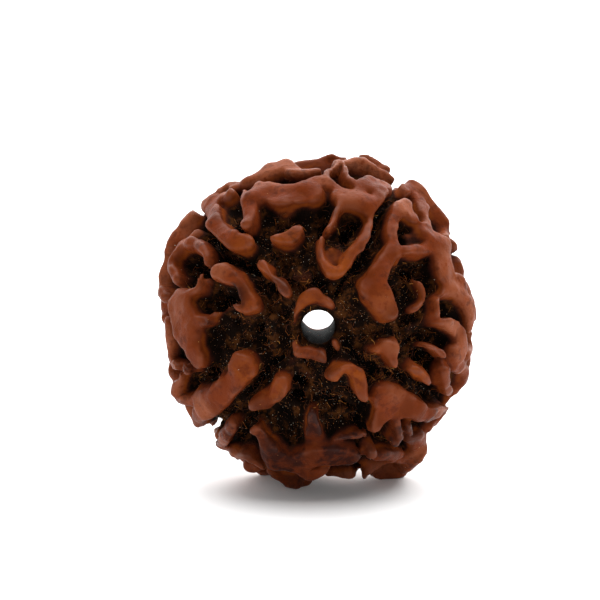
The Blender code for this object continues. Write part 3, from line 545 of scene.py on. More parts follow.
tall = CROWN_FACE + LEFT_FACE + LOWER_FACE + LOWER_RIGHT_FACE + RIGHT_FACE
for spine in near_spines(tall) + far_spines(tall) + side_spines():
    add_ridge(spine)
for ridges, drop in ((HUMPS, HUMP_DROP), (SHELVES, SHELF_DROP)):
    for spine in near_spines(ridges, drop) + far_spines(ridges, drop):
        add_ridge(spine)
for index, furrow in enumerate(FURROWS):
    line = [(near_point(x, z, 0.0), half_width, depth) for x, z, half_width, depth in furrow]
    depth = line[-1][2]
    for x, z, half_width, _ in reversed(FURROWS[index - FACES_ROUND]):
        line.append((far_place(near_point(x, z, 0.0)), half_width, depth))
        depth = min(depth + FURROW_FALL, FURROW_DEPTH)
    cut_furrow(line)
for x, z, half_width in PITS:
    place = near_point(x, z, 0.0)
    sink_pit(place, half_width)
    sink_pit(far_place(place), half_width)
for spine in near_spines(LIP, LIP_DROP) + far_spines(LIP, LIP_DROP):
    add_ridge(spine)
for spine in near_spines(FEET):
    add_ridge(spine)

# Skin: shallow dimples and a fine grain over everything, as (height, cell, seed)
SKIN = ((0.22, 1.2, 5), (0.075, 0.50, 6), (0.025, 0.3, 7))
for height, cell, seed in SKIN:
    stone += height * soft_noise(cell, seed)

# The drilled hole, and the flats worn on the lowest tips
x, y, z = grid
hole_slope = (HOLE_FAR_Z - HOLE_NEAR_Z) / (2.0 * HALF_DEPTH)
hole_z = (HOLE_FAR_Z + HOLE_NEAR_Z) / 2.0 + hole_slope * y
stone = np.maximum(stone, HOLE_RADIUS - np.hypot(x, z - hole_z))
tip = math.radians(TIP_DEGREES)
raised = z * math.cos(tip) - y * math.sin(tip)
stone = np.maximum(stone, raised[stone < 0.0].min() + WORN_DEPTH - raised)


def blurred(values, passes):
    """The grid's values after each has been shared with its neighbours, in a number of passes."""
    for axis in (0, 1, 2) * passes:
        values = 0.5 * values + 0.25 * (np.roll(values, 1, axis) + np.roll(values, -1, axis))
    return values


def sampled(values, points):
    """Values of the grid at points between its voxels."""
    place = (points + np.array(GRID_HALF)) / VOXEL
    first = place.astype(int)
    share = place - first
    total = 0.0
    for corner in np.ndindex(2, 2, 2):
        weight = np.prod(np.where(corner, share, 1.0 - share), axis=1)
        total += weight * values[tuple((first + corner).T)]
    return total


# How much stone lies close round each voxel, and how much within a wider reach
THIN_PASSES = 6
SHELTERED_PASSES = 34
solid = np.clip(0.5 - stone / VOXEL, 0.0, 1.0)
thin_grid = blurred(solid, THIN_PASSES)
sheltered_grid = blurred(thin_grid, SHELTERED_PASSES)

vdb = openvdb.FloatGrid(OPEN_AIR)
vdb.copyFromArray(stone.astype(np.float32))
vdb.transform = openvdb.createLinearTransform(voxelSize=VOXEL)
points, quads = vdb.convertToQuads(0.0)
mesh = bpy.data.meshes.new("seed_stone")
mesh.from_pydata((np.asarray(points) - np.array(GRID_HALF)).tolist(), [], np.asarray(quads).tolist())
mesh.validate()

# Crumbs and closed hollows beside the stone's one surface are dropped
bm = bmesh.new()
bm.from_mesh(mesh)
unseen = set(bm.verts)
bodies = []
while unseen:
    edge_of_body = [unseen.pop()]
    body = list(edge_of_body)
    while edge_of_body:
        for edge in edge_of_body.pop().link_edges:
            for vert in edge.verts:
                if vert in unseen:
                    unseen.remove(vert)
                    body.append(vert)
                    edge_of_body.append(vert)
    bodies.append(body)
largest = max(bodies, key=len)
loose = [vert for body in bodies if body is not largest for vert in body]
bmesh.ops.delete(bm, geom=loose, context="VERTS")
bmesh.ops.recalc_face_normals(bm, faces=bm.faces)
bm.to_mesh(mesh)
bm.free()

stone_piece = bpy.data.objects.new("seed_stone", mesh)
bpy.context.scene.collection.objects.link(stone_piece)
thin_out = stone_piece.modifiers.new("thin out", "DECIMATE")
thin_out.ratio = min(1.0, STONE_TRIANGLES / sum(len(face.vertices) - 2 for face in mesh.polygons))
mesh = bpy.data.meshes.new_from_object(stone_piece.evaluated_get(bpy.context.evaluated_depsgraph_get()))
stone_piece.modifiers.clear()
stone_piece.data = mesh

# What the finish follows, and with it its painted shade and painted highlights: depth below the outer
# surface, and how much of the stone lies close by (little at thin edges, much in hollows)
corners = np.empty(len(mesh.vertices) * 3, dtype=np.float32)
mesh.vertices.foreach_get("co", corners)
corners = corners.reshape(-1, 3)


def store(name, values):
    attribute = mesh.attributes.new(name, "FLOAT", "POINT")
    attribute.data.foreach_set("value", np.asarray(values, dtype=np.float32))


depth = -distance_to_oval(*corners.T)
thin = sampled(thin_grid, corners)
sheltered = sampled(sheltered_grid, corners)
store("depth", depth)
store("thin", thin)
store("sheltered", sheltered)

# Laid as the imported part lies: tipped forward, in the middle of its box and on its lowest plane
box_low, box_high = (Vector(corner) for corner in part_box("seed"))
mesh.transform(Matrix.Rotation(-tip, 4, "X") @ Matrix.Scale(MM, 4))
laid = np.empty_like(corners)
mesh.vertices.foreach_get("co", laid.ravel())
low, high = Vector(laid.min(axis=0)), Vector(laid.max(axis=0))
stone_middle = (box_low + box_high - low - high) / 2.0
stone_middle.z = box_low.z - low.z
mesh.transform(Matrix.Translation(stone_middle))
mesh.shade_smooth()


class Wire:
    """A socket in a node tree. Sums, differences and products of wires add Math nodes to the tree."""

    def __init__(self, tree, socket=None):
        self.tree = tree
        self.socket = socket

    def node(self, kind, settings=None, sockets=None, output=0):
        """Adds a node of any type: its settings first, then the values or links of its sockets."""
        node = self.tree.nodes.new(kind)
        for name, value in (settings or {}).items():
            if name == "stops":
                ramp = node.color_ramp.elements
                while len(ramp) < len(value):
                    ramp.new(1.0)
                for stop, (position, colour) in zip(ramp, value):
                    stop.position = position
                    stop.color = colour
            else:
                setattr(node, name, value)
        for name, value in (sockets or {}).items():
            if isinstance(value, Wire):
                self.tree.links.new(value.socket, node.inputs[name])
            else:
                node.inputs[name].default_value = value
        return Wire(self.tree, node.outputs[output])

    def math(self, operation, first, second):
        return self.node("ShaderNodeMath", {"operation": operation}, {0: first, 1: second})

    def __add__(self, other):
        return self.math("ADD", self, other)

    def __radd__(self, other):
        return self.math("ADD", other, self)

    def __sub__(self, other):
        return self.math("SUBTRACT", self, other)

    def __rsub__(self, other):
        return self.math("SUBTRACT", other, self)

    def __mul__(self, other):
        return self.math("MULTIPLY", self, other)

    def __rmul__(self, other):
        return self.math("MULTIPLY", other, self)

    def over(self, low, high):
        """Eases from 0 at low to 1 at high."""
        return self.node(
            "ShaderNodeMapRange", {"interpolation_type": "SMOOTHSTEP"},
            {"Value": self, "From Min": low, "From Max": high},
        )

    def mix(self, first, second):
        """From one colour to the other as this goes from 0 to 1."""
        return self.node("ShaderNodeMix", {"data_type": "RGBA"}, {0: self, 6: first, 7: second}, output=2)

    def attribute(self, name):
        return self.node("ShaderNodeAttribute", {"attribute_name": name}, output="Fac")

    def noise(self, place, size, detail=3.0, roughness=0.5):
        """Noise whose lumps are about size mm across."""
        return self.node(
            "ShaderNodeTexNoise", {},
            {"Vector": place, "Scale": 1.0 / (size * MM), "Detail": detail, "Roughness": roughness},
        )


def new_finish(name):
    """An empty material, with a wire to make its nodes from and its surface shader."""
    material = bpy.data.materials.new(name)
    material.use_nodes = True
    return material, Wire(material.node_tree), material.node_tree.nodes["Principled BSDF"]


def plug(wire, shader, name):
    wire.tree.links.new(wire.socket, shader.inputs[name])


# Oiled finish: rosy brown on the tops, with a painted pale pink highlight on the crests and a painted
# sheen on the highest ridges, orange where the wood is thin, and painted shade that darkens the more
# sunken a place is, plum on the flanks and black in the hollows, over the hollows' own dark crust
CREST_HIGHLIGHT_PINK = (0.215, 0.056, 0.020, 1.0)
PAINTED_SHEEN_PINK = (0.250, 0.072, 0.031, 1.0)
ROSY_TOP = (0.145, 0.026, 0.006, 1.0)
RUSTY_TOP = (0.110, 0.020, 0.004, 1.0)
THIN_ORANGE = (0.230, 0.048, 0.006, 1.0)
MAROON_FLANK = (0.078, 0.014, 0.004, 1.0)
PLUM_FLANK = (0.030, 0.007, 0.004, 1.0)
DARK_GROUND = (0.0065, 0.0032, 0.0020, 1.0)
BROWN_GROUND = (0.070, 0.023, 0.006, 1.0)
PAINTED_PIT_SHADE = (0.0022, 0.0016, 0.0013, 1.0)

# Dark plum patches: x, z, radius, how much. Some are oil stains; those in the pits and on the underside,
# which faces the table, are painted shade
DARK_STAINS_AND_SHADE = [
    (5.5, 1.6, 0.9, 1.0), (1.15, 8.9, 0.45, 1.0), (2.5, 9.1, 0.55, 1.0), (-4.8, -7.3, 0.6, 1.0),
    (0.5, 6.9, 0.6, 0.8), (-0.4, -6.2, 2.0, 1.0), (1.6, -8.2, 1.8, 0.9), (-2.4, -8.4, 1.8, 0.9),
    (-4.6, -7.6, 1.6, 0.6), (-1.0, -10.0, 1.6, 0.5), (-6.6, -0.8, 1.1, 0.7), (-5.0, 1.6, 0.7, 0.9),
    (-1.2, 5.3, 0.8, 0.2), (-2.2, 2.4, 0.9, 0.6), (5.2, -7.4, 1.7, 0.7), (6.8, -6.4, 1.0, 0.6),
    (-6.2, 6.6, 0.8, 0.3), (1.4, -5.6, 1.2, 0.6), (2.2, -7.0, 1.0, 0.7), (-3.3, 2.3, 0.6, 0.4),
    (2.2, 1.0, 0.9, 0.5), (4.6, 0.4, 0.7, 0.4), (-3.2, -5.8, 1.2, 0.5), (0.0, -2.8, 1.0, 0.6),
    (-7.9, -3.6, 1.1, 0.5),
]

# Patches where the wood shows through the oil, red and orange, listed the same way
WARM = [
    (-0.9, 0.9, 0.9, 0.9), (0.4, 1.2, 0.7, 0.8), (-1.2, -1.7, 0.6, 0.7), (0.1, -2.1, 0.6, 0.4),
    (1.1, 3.4, 0.9, 1.0), (1.5, 4.8, 0.9, 0.5), (-2.7, -4.3, 0.9, 0.8), (1.9, -3.3, 1.1, 0.8),
    (-2.0, 5.2, 0.8, 0.7), (3.6, -1.9, 0.6, 0.6), (-4.4, -3.1, 0.9, 0.6), (-4.6, 1.3, 0.9, 0.5),
    (3.9, 0.9, 1.0, 0.5), (-4.6, 4.8, 0.8, 0.5), (6.2, -3.2, 0.7, 0.7), (-3.1, 2.9, 0.7, 0.8),
]

# Painted sheen: pale pink patches on the highest ridges and near the outline, where light glances off the
# tops, listed the same way
SHEEN_SPOTS = [
    (-2.4, 9.5, 2.2, 0.8), (-5.6, 8.3, 1.0, 0.6), (0.8, 10.0, 1.4, 0.9), (2.4, 9.8, 1.4, 1.0),
    (4.3, 9.0, 1.0, 1.0), (-3.2, 8.6, 0.4, 0.4), (0.4, 8.7, 0.5, 0.5), (-5.4, -8.1, 0.9, 0.6),
    (-6.9, 7.5, 0.9, 0.9), (-8.2, 5.4, 0.9, 0.6), (-8.8, 0.8, 1.1, 0.4), (-8.2, -0.4, 0.9, 0.2),
    (-6.1, 3.1, 0.7, 0.6), (5.3, 7.2, 0.8, 0.9), (6.6, 7.8, 1.0, 0.6), (8.2, 3.4, 1.2, 0.6),
    (8.6, 2.0, 1.0, 0.7), (8.4, -0.7, 1.0, 0.9), (8.9, -1.8, 0.9, 0.7), (9.0, -3.6, 0.8, 0.8),
    (4.0, 1.0, 0.7, 0.3), (7.6, -5.6, 0.8, 0.7), (4.8, -4.5, 0.7, 0.4), (-7.2, -5.4, 0.9, 0.8),
    (-6.3, -7.5, 0.8, 0.6), (6.2, -8.2, 0.8, 0.6), (1.9, 7.6, 0.9, 0.4), (4.7, -1.5, 0.7, 0.5),
    (9.5, 0.8, 1.3, 0.8), (9.6, -1.2, 1.0, 0.8), (7.8, 5.6, 1.3, 0.7), (-9.6, 3.2, 1.4, 0.6),
    (-9.3, -1.6, 1.2, 0.6), (-8.4, 6.0, 1.0, 0.6), (-8.5, -4.5, 0.8, 0.6), (2.8, 10.1, 1.6, 1.0),
]


def away_from(x, z):
    """Each corner's distance from a spot on the near end, and from its twin on the far end."""
    near = near_point(x, z, 0.0)
    return [np.linalg.norm(corners - np.array(middle), axis=1) for middle in (near, far_place(near))]


def patches(spots):
    """A value for each corner of the stone: how far it lies within any spot, at either end."""
    total = np.zeros(len(corners))
    for x, z, radius, amount in spots:
        for away in away_from(x, z):
            total = np.maximum(total, amount * eased(away, radius * PATCH_EDGE, radius * PATCH_HEART))
    return total


# A patch fades out from its heart to its edge, as shares of its radius
PATCH_EDGE = 1.5
PATCH_HEART = 0.5
store("stain", patches(DARK_STAINS_AND_SHADE))
store("warm", patches(WARM))
store("worn", patches(SHEEN_SPOTS))

# How large the finish's own patterns are, in mm. Each pattern's noise varies about the middle value
BLOTCH_SIZE = 1.6
MOTTLE_SIZE = 0.5
SPECK_SIZE = 0.10
CLOD_SIZE = 1.1
WOOD_GRAIN_SIZE = 0.22
NOISE_MIDDLE = 0.5

# How sunken a place is, which sets the painted shade: its depth in mm, and more where stone lies all
# round it
DEPTH_WEIGHT = 1.2
SHELTER_WEIGHT = 2.8
OPEN_SHELTER = 0.46
MOTTLE_WEIGHT = 0.7

# Where each colour of the tops, of their painted highlight and sheen, and of the oil stains and painted
# shade begins and where it is full, and how much it covers
RUSTY_BLOTCHES = (0.42, 0.62)
CREST_HIGHLIGHT_THIN = (0.44, 0.28)
CREST_HIGHLIGHT_SHARE = 0.35
WARM_MOTTLE = (0.35, 0.60)
SHEEN_MOTTLE = (0.25, 0.50)
STREAK_BLOTCHES = (0.58, 0.40)
STREAK_MOTTLE = (0.45, 0.65)
STREAK_SHARE = 0.5
STAIN_AND_SHADE_MOTTLE = (0.30, 0.55)
EVEN_STAIN_AND_SHADE = 0.55

# The same for the painted shade of the flanks and hollows and for the hollows' own crust, most of it by
# how sunken they are
MAROON_SUNKEN = (0.05, 0.60)
MAROON_SHARE = 0.85
ORANGE_SUNKEN = (0.05, 0.45)
ORANGE_BLOTCHES = (0.44, 0.60)
ORANGE_SHARE = 0.5
PLUM_SUNKEN = (0.50, 1.10)
GROUND_SUNKEN = (0.85, 1.50)
GROUND_MOTTLE = (0.42, 0.60)
GROUND_CLODS = (0.44, 0.58)
PIT_SHADE_DEPTHS = (2.2, 2.8)
PIT_SHADE_SHELTER = 0.5
PIT_SHADE_SHELTER_WEIGHT = 2.0

# Sheen on the tops and crests, and the relief of wood grain and grit
TOPS_SUNKEN = (0.9, 0.2)
HOLLOW_ROUGHNESS = 0.60
TOPS_SMOOTHER = 0.22
MOTTLE_ROUGHER = 0.12
TOPS_COAT = 0.03
CREST_COAT = 0.16
COATED_CREST = (0.42, 0.28)
GRIT_SUNKEN = (0.6, 1.4)
GRIT_RELIEF = 1.5
RELIEF_STRENGTH = 0.6
RELIEF_HEIGHT = 0.10

oiled, wire, shader = new_finish("oiled stone")
place = wire.node("ShaderNodeTexCoord", output="Object")
depth_wire = wire.attribute("depth")
thin_wire = wire.attribute("thin")
sheltered_wire = wire.attribute("sheltered")
blotches = wire.noise(place, BLOTCH_SIZE)
mottle = wire.noise(place, MOTTLE_SIZE, detail=4.0, roughness=0.6)
specks = wire.noise(place, SPECK_SIZE, detail=2.0)
clods = wire.noise(place, CLOD_SIZE, detail=2.0)
grain = wire.noise(place, WOOD_GRAIN_SIZE, detail=5.0, roughness=0.62)

colour = blotches.over(*RUSTY_BLOTCHES).mix(ROSY_TOP, RUSTY_TOP)
# Painted highlight: the thin crests are lightened to a pale pink, as where light glances off them
colour = (thin_wire.over(*CREST_HIGHLIGHT_THIN) * CREST_HIGHLIGHT_SHARE).mix(colour, CREST_HIGHLIGHT_PINK)
colour = (wire.attribute("warm") * mottle.over(*WARM_MOTTLE)).mix(colour, THIN_ORANGE)
# Painted sheen: pale pink patches on the highest ridges and near the outline
colour = (wire.attribute("worn") * mottle.over(*SHEEN_MOTTLE)).mix(colour, PAINTED_SHEEN_PINK)
streaks = blotches.over(*STREAK_BLOTCHES) * mottle.over(*STREAK_MOTTLE)
patchy = EVEN_STAIN_AND_SHADE + mottle.over(*STAIN_AND_SHADE_MOTTLE) * (1.0 - EVEN_STAIN_AND_SHADE)
# Plum patches: oil stains and streaks, and painted shade in the pits and on the underside
stains_and_shade = wire.attribute("stain") * patchy + streaks * STREAK_SHARE
colour = stains_and_shade.mix(colour, PLUM_FLANK)

# Painted shade: the more sunken and shut in a place is, the darker it is painted, maroon, then plum, then
# the hollows' own dark crust, and black in the deepest pits
shut_in = (sheltered_wire - OPEN_SHELTER) * SHELTER_WEIGHT
sunken = depth_wire * DEPTH_WEIGHT + shut_in + (mottle - NOISE_MIDDLE) * MOTTLE_WEIGHT
colour = (sunken.over(*MAROON_SUNKEN) * MAROON_SHARE).mix(colour, MAROON_FLANK)
shows_through = sunken.over(*ORANGE_SUNKEN) * blotches.over(*ORANGE_BLOTCHES) * ORANGE_SHARE
colour = shows_through.mix(colour, THIN_ORANGE)
colour = sunken.over(*PLUM_SUNKEN).mix(colour, PLUM_FLANK)
ground = (mottle.over(*GROUND_MOTTLE) * clods.over(*GROUND_CLODS)).mix(DARK_GROUND, BROWN_GROUND)
colour = sunken.over(*GROUND_SUNKEN).mix(colour, ground)
# Painted shade: black in the deepest, most shut-in pits
pit_shade = depth_wire + (sheltered_wire - PIT_SHADE_SHELTER) * PIT_SHADE_SHELTER_WEIGHT
colour = pit_shade.over(*PIT_SHADE_DEPTHS).mix(colour, PAINTED_PIT_SHADE)
plug(colour, shader, "Base Color")

on_tops = sunken.over(*TOPS_SUNKEN)
plug(HOLLOW_ROUGHNESS - on_tops * TOPS_SMOOTHER + mottle * MOTTLE_ROUGHER, shader, "Roughness")
plug(on_tops * (TOPS_COAT + thin_wire.over(*COATED_CREST) * CREST_COAT), shader, "Coat Weight")
shader.inputs["Coat Roughness"].default_value = 0.20
shader.inputs["Specular IOR Level"].default_value = 0.02
relief = grain + sunken.over(*GRIT_SUNKEN) * specks * GRIT_RELIEF
bump = wire.node(
    "ShaderNodeBump", {},
    {"Strength": RELIEF_STRENGTH, "Distance": RELIEF_HEIGHT * MM, "Height": relief},
)
plug(bump, shader, "Normal")
mesh.materials.append(oiled)
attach(stone_piece, "root")
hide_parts("seed")

# Dry pulp: fibres of the fruit's flesh that the cleaning left matted in the hollows, rust brown to
# gold and finer than a brush's bristles. The oil holds them where they lie.
FIBRE_LENGTH = 0.30
FIBRE_THICKNESS = 0.036
FIBRE_POINTS = 4
FIBRES_PER_MM2 = 60.0
FIBRE_CURL = 0.16
CURL_SIZE = 0.5
CURL_GAIN = 4.0

# Least and greatest turns of a fibre on the surface, in radians, and of its stretch
FIBRE_TURNS = ((-0.35, -0.9, 0.0), (0.35, 0.1, 2.0 * math.pi))
FIBRE_STRETCH = (0.3, 2.0)

# They lie in clumps, clear of the drilled hole and of the rubbed waist, and between two depths
CLUMP_SIZE = 1.1
CLUMP_NOISE = (0.44, 0.60)
CLUMP_GAIN = 2.0
BETWEEN_CLUMPS = 0.1
BARE_RIM = 0.15
FULL_RIM = 0.45
RUBBED_WAIST = (0.5, 3.0)
PULP_BEGINS = (0.6, 1.1)
PULP_ENDS = (3.0, 2.4)
THINLY = 0.10

# Where they lie thickest, at the near end: x, z, radius and how thickly. A tuft thins out from its
# heart to its edge, as shares of its radius
TUFT_EDGE = 1.6
TUFT_HEART = 0.5
TUFTS = [
    (3.6, -3.3, 1.3, 2.2), (5.2, -3.9, 1.0, 1.2), (-3.8, -0.9, 1.0, 0.8), (-5.2, 0.1, 0.7, 0.6),
    (-3.3, -3.2, 0.9, 0.8), (-0.7, -3.6, 1.1, 0.6), (1.4, 4.9, 1.0, 6.0), (0.9, 2.0, 0.8, 0.6),
    (5.0, 5.2, 0.7, 0.8), (4.9, 2.1, 0.9, 0.5), (6.8, 1.1, 0.8, 0.6), (2.4, -1.2, 1.0, 0.9),
    (6.0, -1.1, 0.8, 0.8), (1.4, -4.6, 1.0, 0.7), (2.3, -7.4, 0.7, 1.0), (5.0, -7.4, 0.8, 0.6),
    (-2.0, 6.4, 0.9, 0.6), (-3.4, 4.7, 0.9, 0.5), (-5.7, 6.1, 0.8, 0.7), (-5.6, 4.1, 0.9, 0.5),
    (-3.9, 2.2, 0.9, 0.7), (-1.0, 2.6, 1.0, 0.6),
]


def new_tree(name, inputs):
    """A Geometry Nodes tree with named inputs: its wire, the inputs' wires and their identifiers."""
    tree = bpy.data.node_groups.new(name, "GeometryNodeTree")
    tree.interface.new_socket("Geometry", in_out="OUTPUT", socket_type="NodeSocketGeometry")
    tree.interface.new_socket("Stone", in_out="INPUT", socket_type="NodeSocketGeometry")
    identifiers = {}
    for label, kind in inputs.items():
        socket = tree.interface.new_socket(label, in_out="INPUT", socket_type=kind)
        identifiers[label] = socket.identifier
    entry = tree.nodes.new("NodeGroupInput")
    wires = {socket.name: Wire(tree, socket) for socket in entry.outputs if socket.name}
    return tree, wires, identifiers


def close_tree(tree, geometry):
    tree.links.new(geometry.socket, tree.nodes.new("NodeGroupOutput").inputs[0])


def grow_on_stone(name, tree, identifiers, values):
    """Runs a tree on a copy of the stone and keeps what it makes as a plain mesh."""
    host = bpy.data.objects.new(name, stone_piece.data.copy())
    bpy.context.scene.collection.objects.link(host)
    modifier = host.modifiers.new(name, "NODES")
    modifier.node_group = tree
    for label, value in values.items():
        modifier[identifiers[label]] = value
    made = bpy.data.meshes.new_from_object(host.evaluated_get(bpy.context.evaluated_depsgraph_get()))
    host.modifiers.clear()
    host.data = made
    return host


from_axis = np.hypot(corners[:, 0], corners[:, 2] - hole_slope * corners[:, 1])
off_hole = eased(from_axis, HOLE_RADIUS + BARE_RIM, HOLE_RADIUS + FULL_RIM)
off_waist = eased(np.abs(corners[:, 1]), *RUBBED_WAIST)
in_hollows = off_hole * off_waist * eased(depth, *PULP_BEGINS) * eased(depth, *PULP_ENDS)
thickly = np.full(len(corners), THINLY)
for x, z, radius, amount in TUFTS:
    for away in away_from(x, z):
        thickly += amount * eased(away, radius * TUFT_EDGE, radius * TUFT_HEART)
store("pulp", in_hollows * thickly)

tree, given, identifiers = new_tree("dry pulp", {
    "Fibres per square metre": "NodeSocketFloat",
    "Length": "NodeSocketFloat",
    "Thickness": "NodeSocketFloat",
    "Curl": "NodeSocketFloat",
    "Seed": "NodeSocketInt",
})
start = given["Stone"]
pulp = start.node("GeometryNodeInputNamedAttribute", {"data_type": "FLOAT"}, {"Name": "pulp"})
position = start.node("GeometryNodeInputPosition")
clumps = start.noise(position, CLUMP_SIZE, detail=2.0).over(*CLUMP_NOISE)
clumps = clumps * CLUMP_GAIN + BETWEEN_CLUMPS
spread = {
    "Mesh": start, "Density": pulp * clumps * given["Fibres per square metre"], "Seed": given["Seed"],
}
points = start.node("GeometryNodeDistributePointsOnFaces", {}, spread)
rotation = Wire(tree, points.socket.node.outputs["Rotation"])
turn = start.node(
    "FunctionNodeRandomValue", {"data_type": "FLOAT_VECTOR"},
    {0: FIBRE_TURNS[0], 1: FIBRE_TURNS[1], "Seed": 1},
)
turned = start.node(
    "FunctionNodeRotateRotation", {"rotation_space": "LOCAL"},
    {"Rotation": rotation, "Rotate By": start.node("FunctionNodeEulerToRotation", {}, {"Euler": turn})},
)
line = start.node(
    "GeometryNodeCurvePrimitiveLine", {},
    {"End": start.node("ShaderNodeCombineXYZ", {}, {"X": given["Length"]})},
)
line = start.node("GeometryNodeResampleCurve", {}, {"Curve": line, "Count": FIBRE_POINTS})
stretch = start.node(
    "FunctionNodeRandomValue", {"data_type": "FLOAT"},
    {2: FIBRE_STRETCH[0], 3: FIBRE_STRETCH[1], "Seed": 2},
    output=1,
)
fibres = start.node(
    "GeometryNodeInstanceOnPoints", {},
    {"Points": points, "Instance": line, "Rotation": turned, "Scale": stretch},
)
shade = start.node(
    "FunctionNodeRandomValue", {"data_type": "FLOAT"}, {2: 0.0, 3: 1.0, "Seed": 3}, output=1,
)
fibres = start.node(
    "GeometryNodeStoreNamedAttribute", {"data_type": "FLOAT", "domain": "INSTANCE"},
    {"Geometry": fibres, "Name": "shade", "Value": shade},
)
fibres = start.node("GeometryNodeRealizeInstances", {}, {"Geometry": fibres})
wander = start.node(
    "ShaderNodeTexNoise", {},
    {"Vector": position, "Scale": 1.0 / (CURL_SIZE * MM), "Detail": 1.0},
    output="Color",
)
wander = start.node(
    "ShaderNodeVectorMath", {"operation": "SUBTRACT"},
    {0: wander, 1: (NOISE_MIDDLE, NOISE_MIDDLE, NOISE_MIDDLE)},
)
curl = start.node(
    "ShaderNodeVectorMath", {"operation": "SCALE"}, {0: wander, "Scale": given["Curl"] * CURL_GAIN},
)
fibres = start.node("GeometryNodeSetPosition", {}, {"Geometry": fibres, "Offset": curl})
section = start.node(
    "GeometryNodeCurvePrimitiveCircle", {}, {"Resolution": 3, "Radius": given["Thickness"] * 0.5},
)
fibres = start.node(
    "GeometryNodeCurveToMesh", {}, {"Curve": fibres, "Profile Curve": section, "Fill Caps": True},
)
fibres = start.node("GeometryNodeRealizeInstances", {}, {"Geometry": fibres})

RUST_FIBRE = (0.080, 0.019, 0.005, 1.0)
ORANGE_FIBRE = (0.240, 0.065, 0.009, 1.0)
GOLD_FIBRE = (0.420, 0.180, 0.035, 1.0)
DARK_FIBRE = (0.022, 0.009, 0.004, 1.0)
straw, wire, shader = new_finish("dry pulp fibre")
colour = wire.node(
    "ShaderNodeValToRGB",
    {"stops": [(0.0, DARK_FIBRE), (0.65, RUST_FIBRE), (0.92, ORANGE_FIBRE), (1.0, GOLD_FIBRE)]},
    {"Fac": wire.attribute("shade")},
)
plug(colour, shader, "Base Color")
shader.inputs["Roughness"].default_value = 0.7
shader.inputs["Specular IOR Level"].default_value = 0.15
fibres = start.node("GeometryNodeSetMaterial", {}, {"Geometry": fibres, "Material": straw})
close_tree(tree, fibres)
pulp_piece = grow_on_stone("dry_pulp", tree, identifiers, {
    "Fibres per square metre": FIBRES_PER_MM2 / MM**2,
    "Length": FIBRE_LENGTH * MM,
    "Thickness": FIBRE_THICKNESS * MM,
    "Curl": FIBRE_CURL * MM,
    "Seed": 4,
})
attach(pulp_piece, "root")

# Dust: grains of husk and grit that stuck to the oil, pale, tan or dark, a tenth of a millimetre
# across and less. They lie in the hollows, and a few on the flanks.
GRAIN_RADIUS = 0.040
GRAIN_STRETCH = ((0.35, 0.35, 0.35), (1.25, 1.1, 0.9))
GRAINS_PER_MM2 = 26.0
DUST_DEPTHS = (0.9, 1.8)
THICK_WOOD = (0.40, 0.60)
DUST_ON_THIN_WOOD = 0.4
DUST_EVERYWHERE = 0.012

by_thickness = DUST_ON_THIN_WOOD + (1.0 - DUST_ON_THIN_WOOD) * eased(thin, *THICK_WOOD)
store("dust", off_hole * eased(depth, *DUST_DEPTHS) * by_thickness + DUST_EVERYWHERE)
tree, given, identifiers = new_tree("dust", {
    "Grains per square metre": "NodeSocketFloat",
    "Radius": "NodeSocketFloat",
    "Seed": "NodeSocketInt",
})
start = given["Stone"]
dust = start.node("GeometryNodeInputNamedAttribute", {"data_type": "FLOAT"}, {"Name": "dust"})
points = start.node(
    "GeometryNodeDistributePointsOnFaces", {},
    {"Mesh": start, "Density": dust * given["Grains per square metre"], "Seed": given["Seed"]},
)
grain = start.node(
    "GeometryNodeMeshUVSphere", {}, {"Radius": given["Radius"], "Segments": 4, "Rings": 2},
)
stretch = start.node(
    "FunctionNodeRandomValue", {"data_type": "FLOAT_VECTOR"},
    {0: GRAIN_STRETCH[0], 1: GRAIN_STRETCH[1], "Seed": 1},
)
turn = start.node(
    "FunctionNodeRandomValue", {"data_type": "FLOAT_VECTOR"},
    {0: (0.0, 0.0, 0.0), 1: (math.tau, math.tau, math.tau), "Seed": 2},
)
grains = start.node(
    "GeometryNodeInstanceOnPoints", {},
    {
        "Points": points, "Instance": grain, "Scale": stretch,
        "Rotation": start.node("FunctionNodeEulerToRotation", {}, {"Euler": turn}),
    },
)
shade = start.node(
    "FunctionNodeRandomValue", {"data_type": "FLOAT"}, {2: 0.0, 3: 1.0, "Seed": 3}, output=1,
)
grains = start.node(
    "GeometryNodeStoreNamedAttribute", {"data_type": "FLOAT", "domain": "INSTANCE"},
    {"Geometry": grains, "Name": "shade", "Value": shade},
)
grains = start.node("GeometryNodeRealizeInstances", {}, {"Geometry": grains})

DARK_GRAIN = (0.020, 0.009, 0.004, 1.0)
RUST_GRAIN = (0.130, 0.034, 0.006, 1.0)
GOLD_GRAIN = (0.380, 0.150, 0.025, 1.0)
PALE_GRAIN = (0.480, 0.430, 0.340, 1.0)
grit, wire, shader = new_finish("dust grains")
colour = wire.node(
    "ShaderNodeValToRGB",
    {"stops": [(0.0, DARK_GRAIN), (0.50, RUST_GRAIN), (0.80, GOLD_GRAIN), (0.95, PALE_GRAIN)]},
    {"Fac": wire.attribute("shade")},
)
plug(colour, shader, "Base Color")
shader.inputs["Roughness"].default_value = 0.85
grains = start.node("GeometryNodeSetMaterial", {}, {"Geometry": grains, "Material": grit})
close_tree(tree, grains)
dust_piece = grow_on_stone("dust_grains", tree, identifiers, {
    "Grains per square metre": GRAINS_PER_MM2 / MM**2,
    "Radius": GRAIN_RADIUS * MM,
    "Seed": 8,
})
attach(dust_piece, "root")

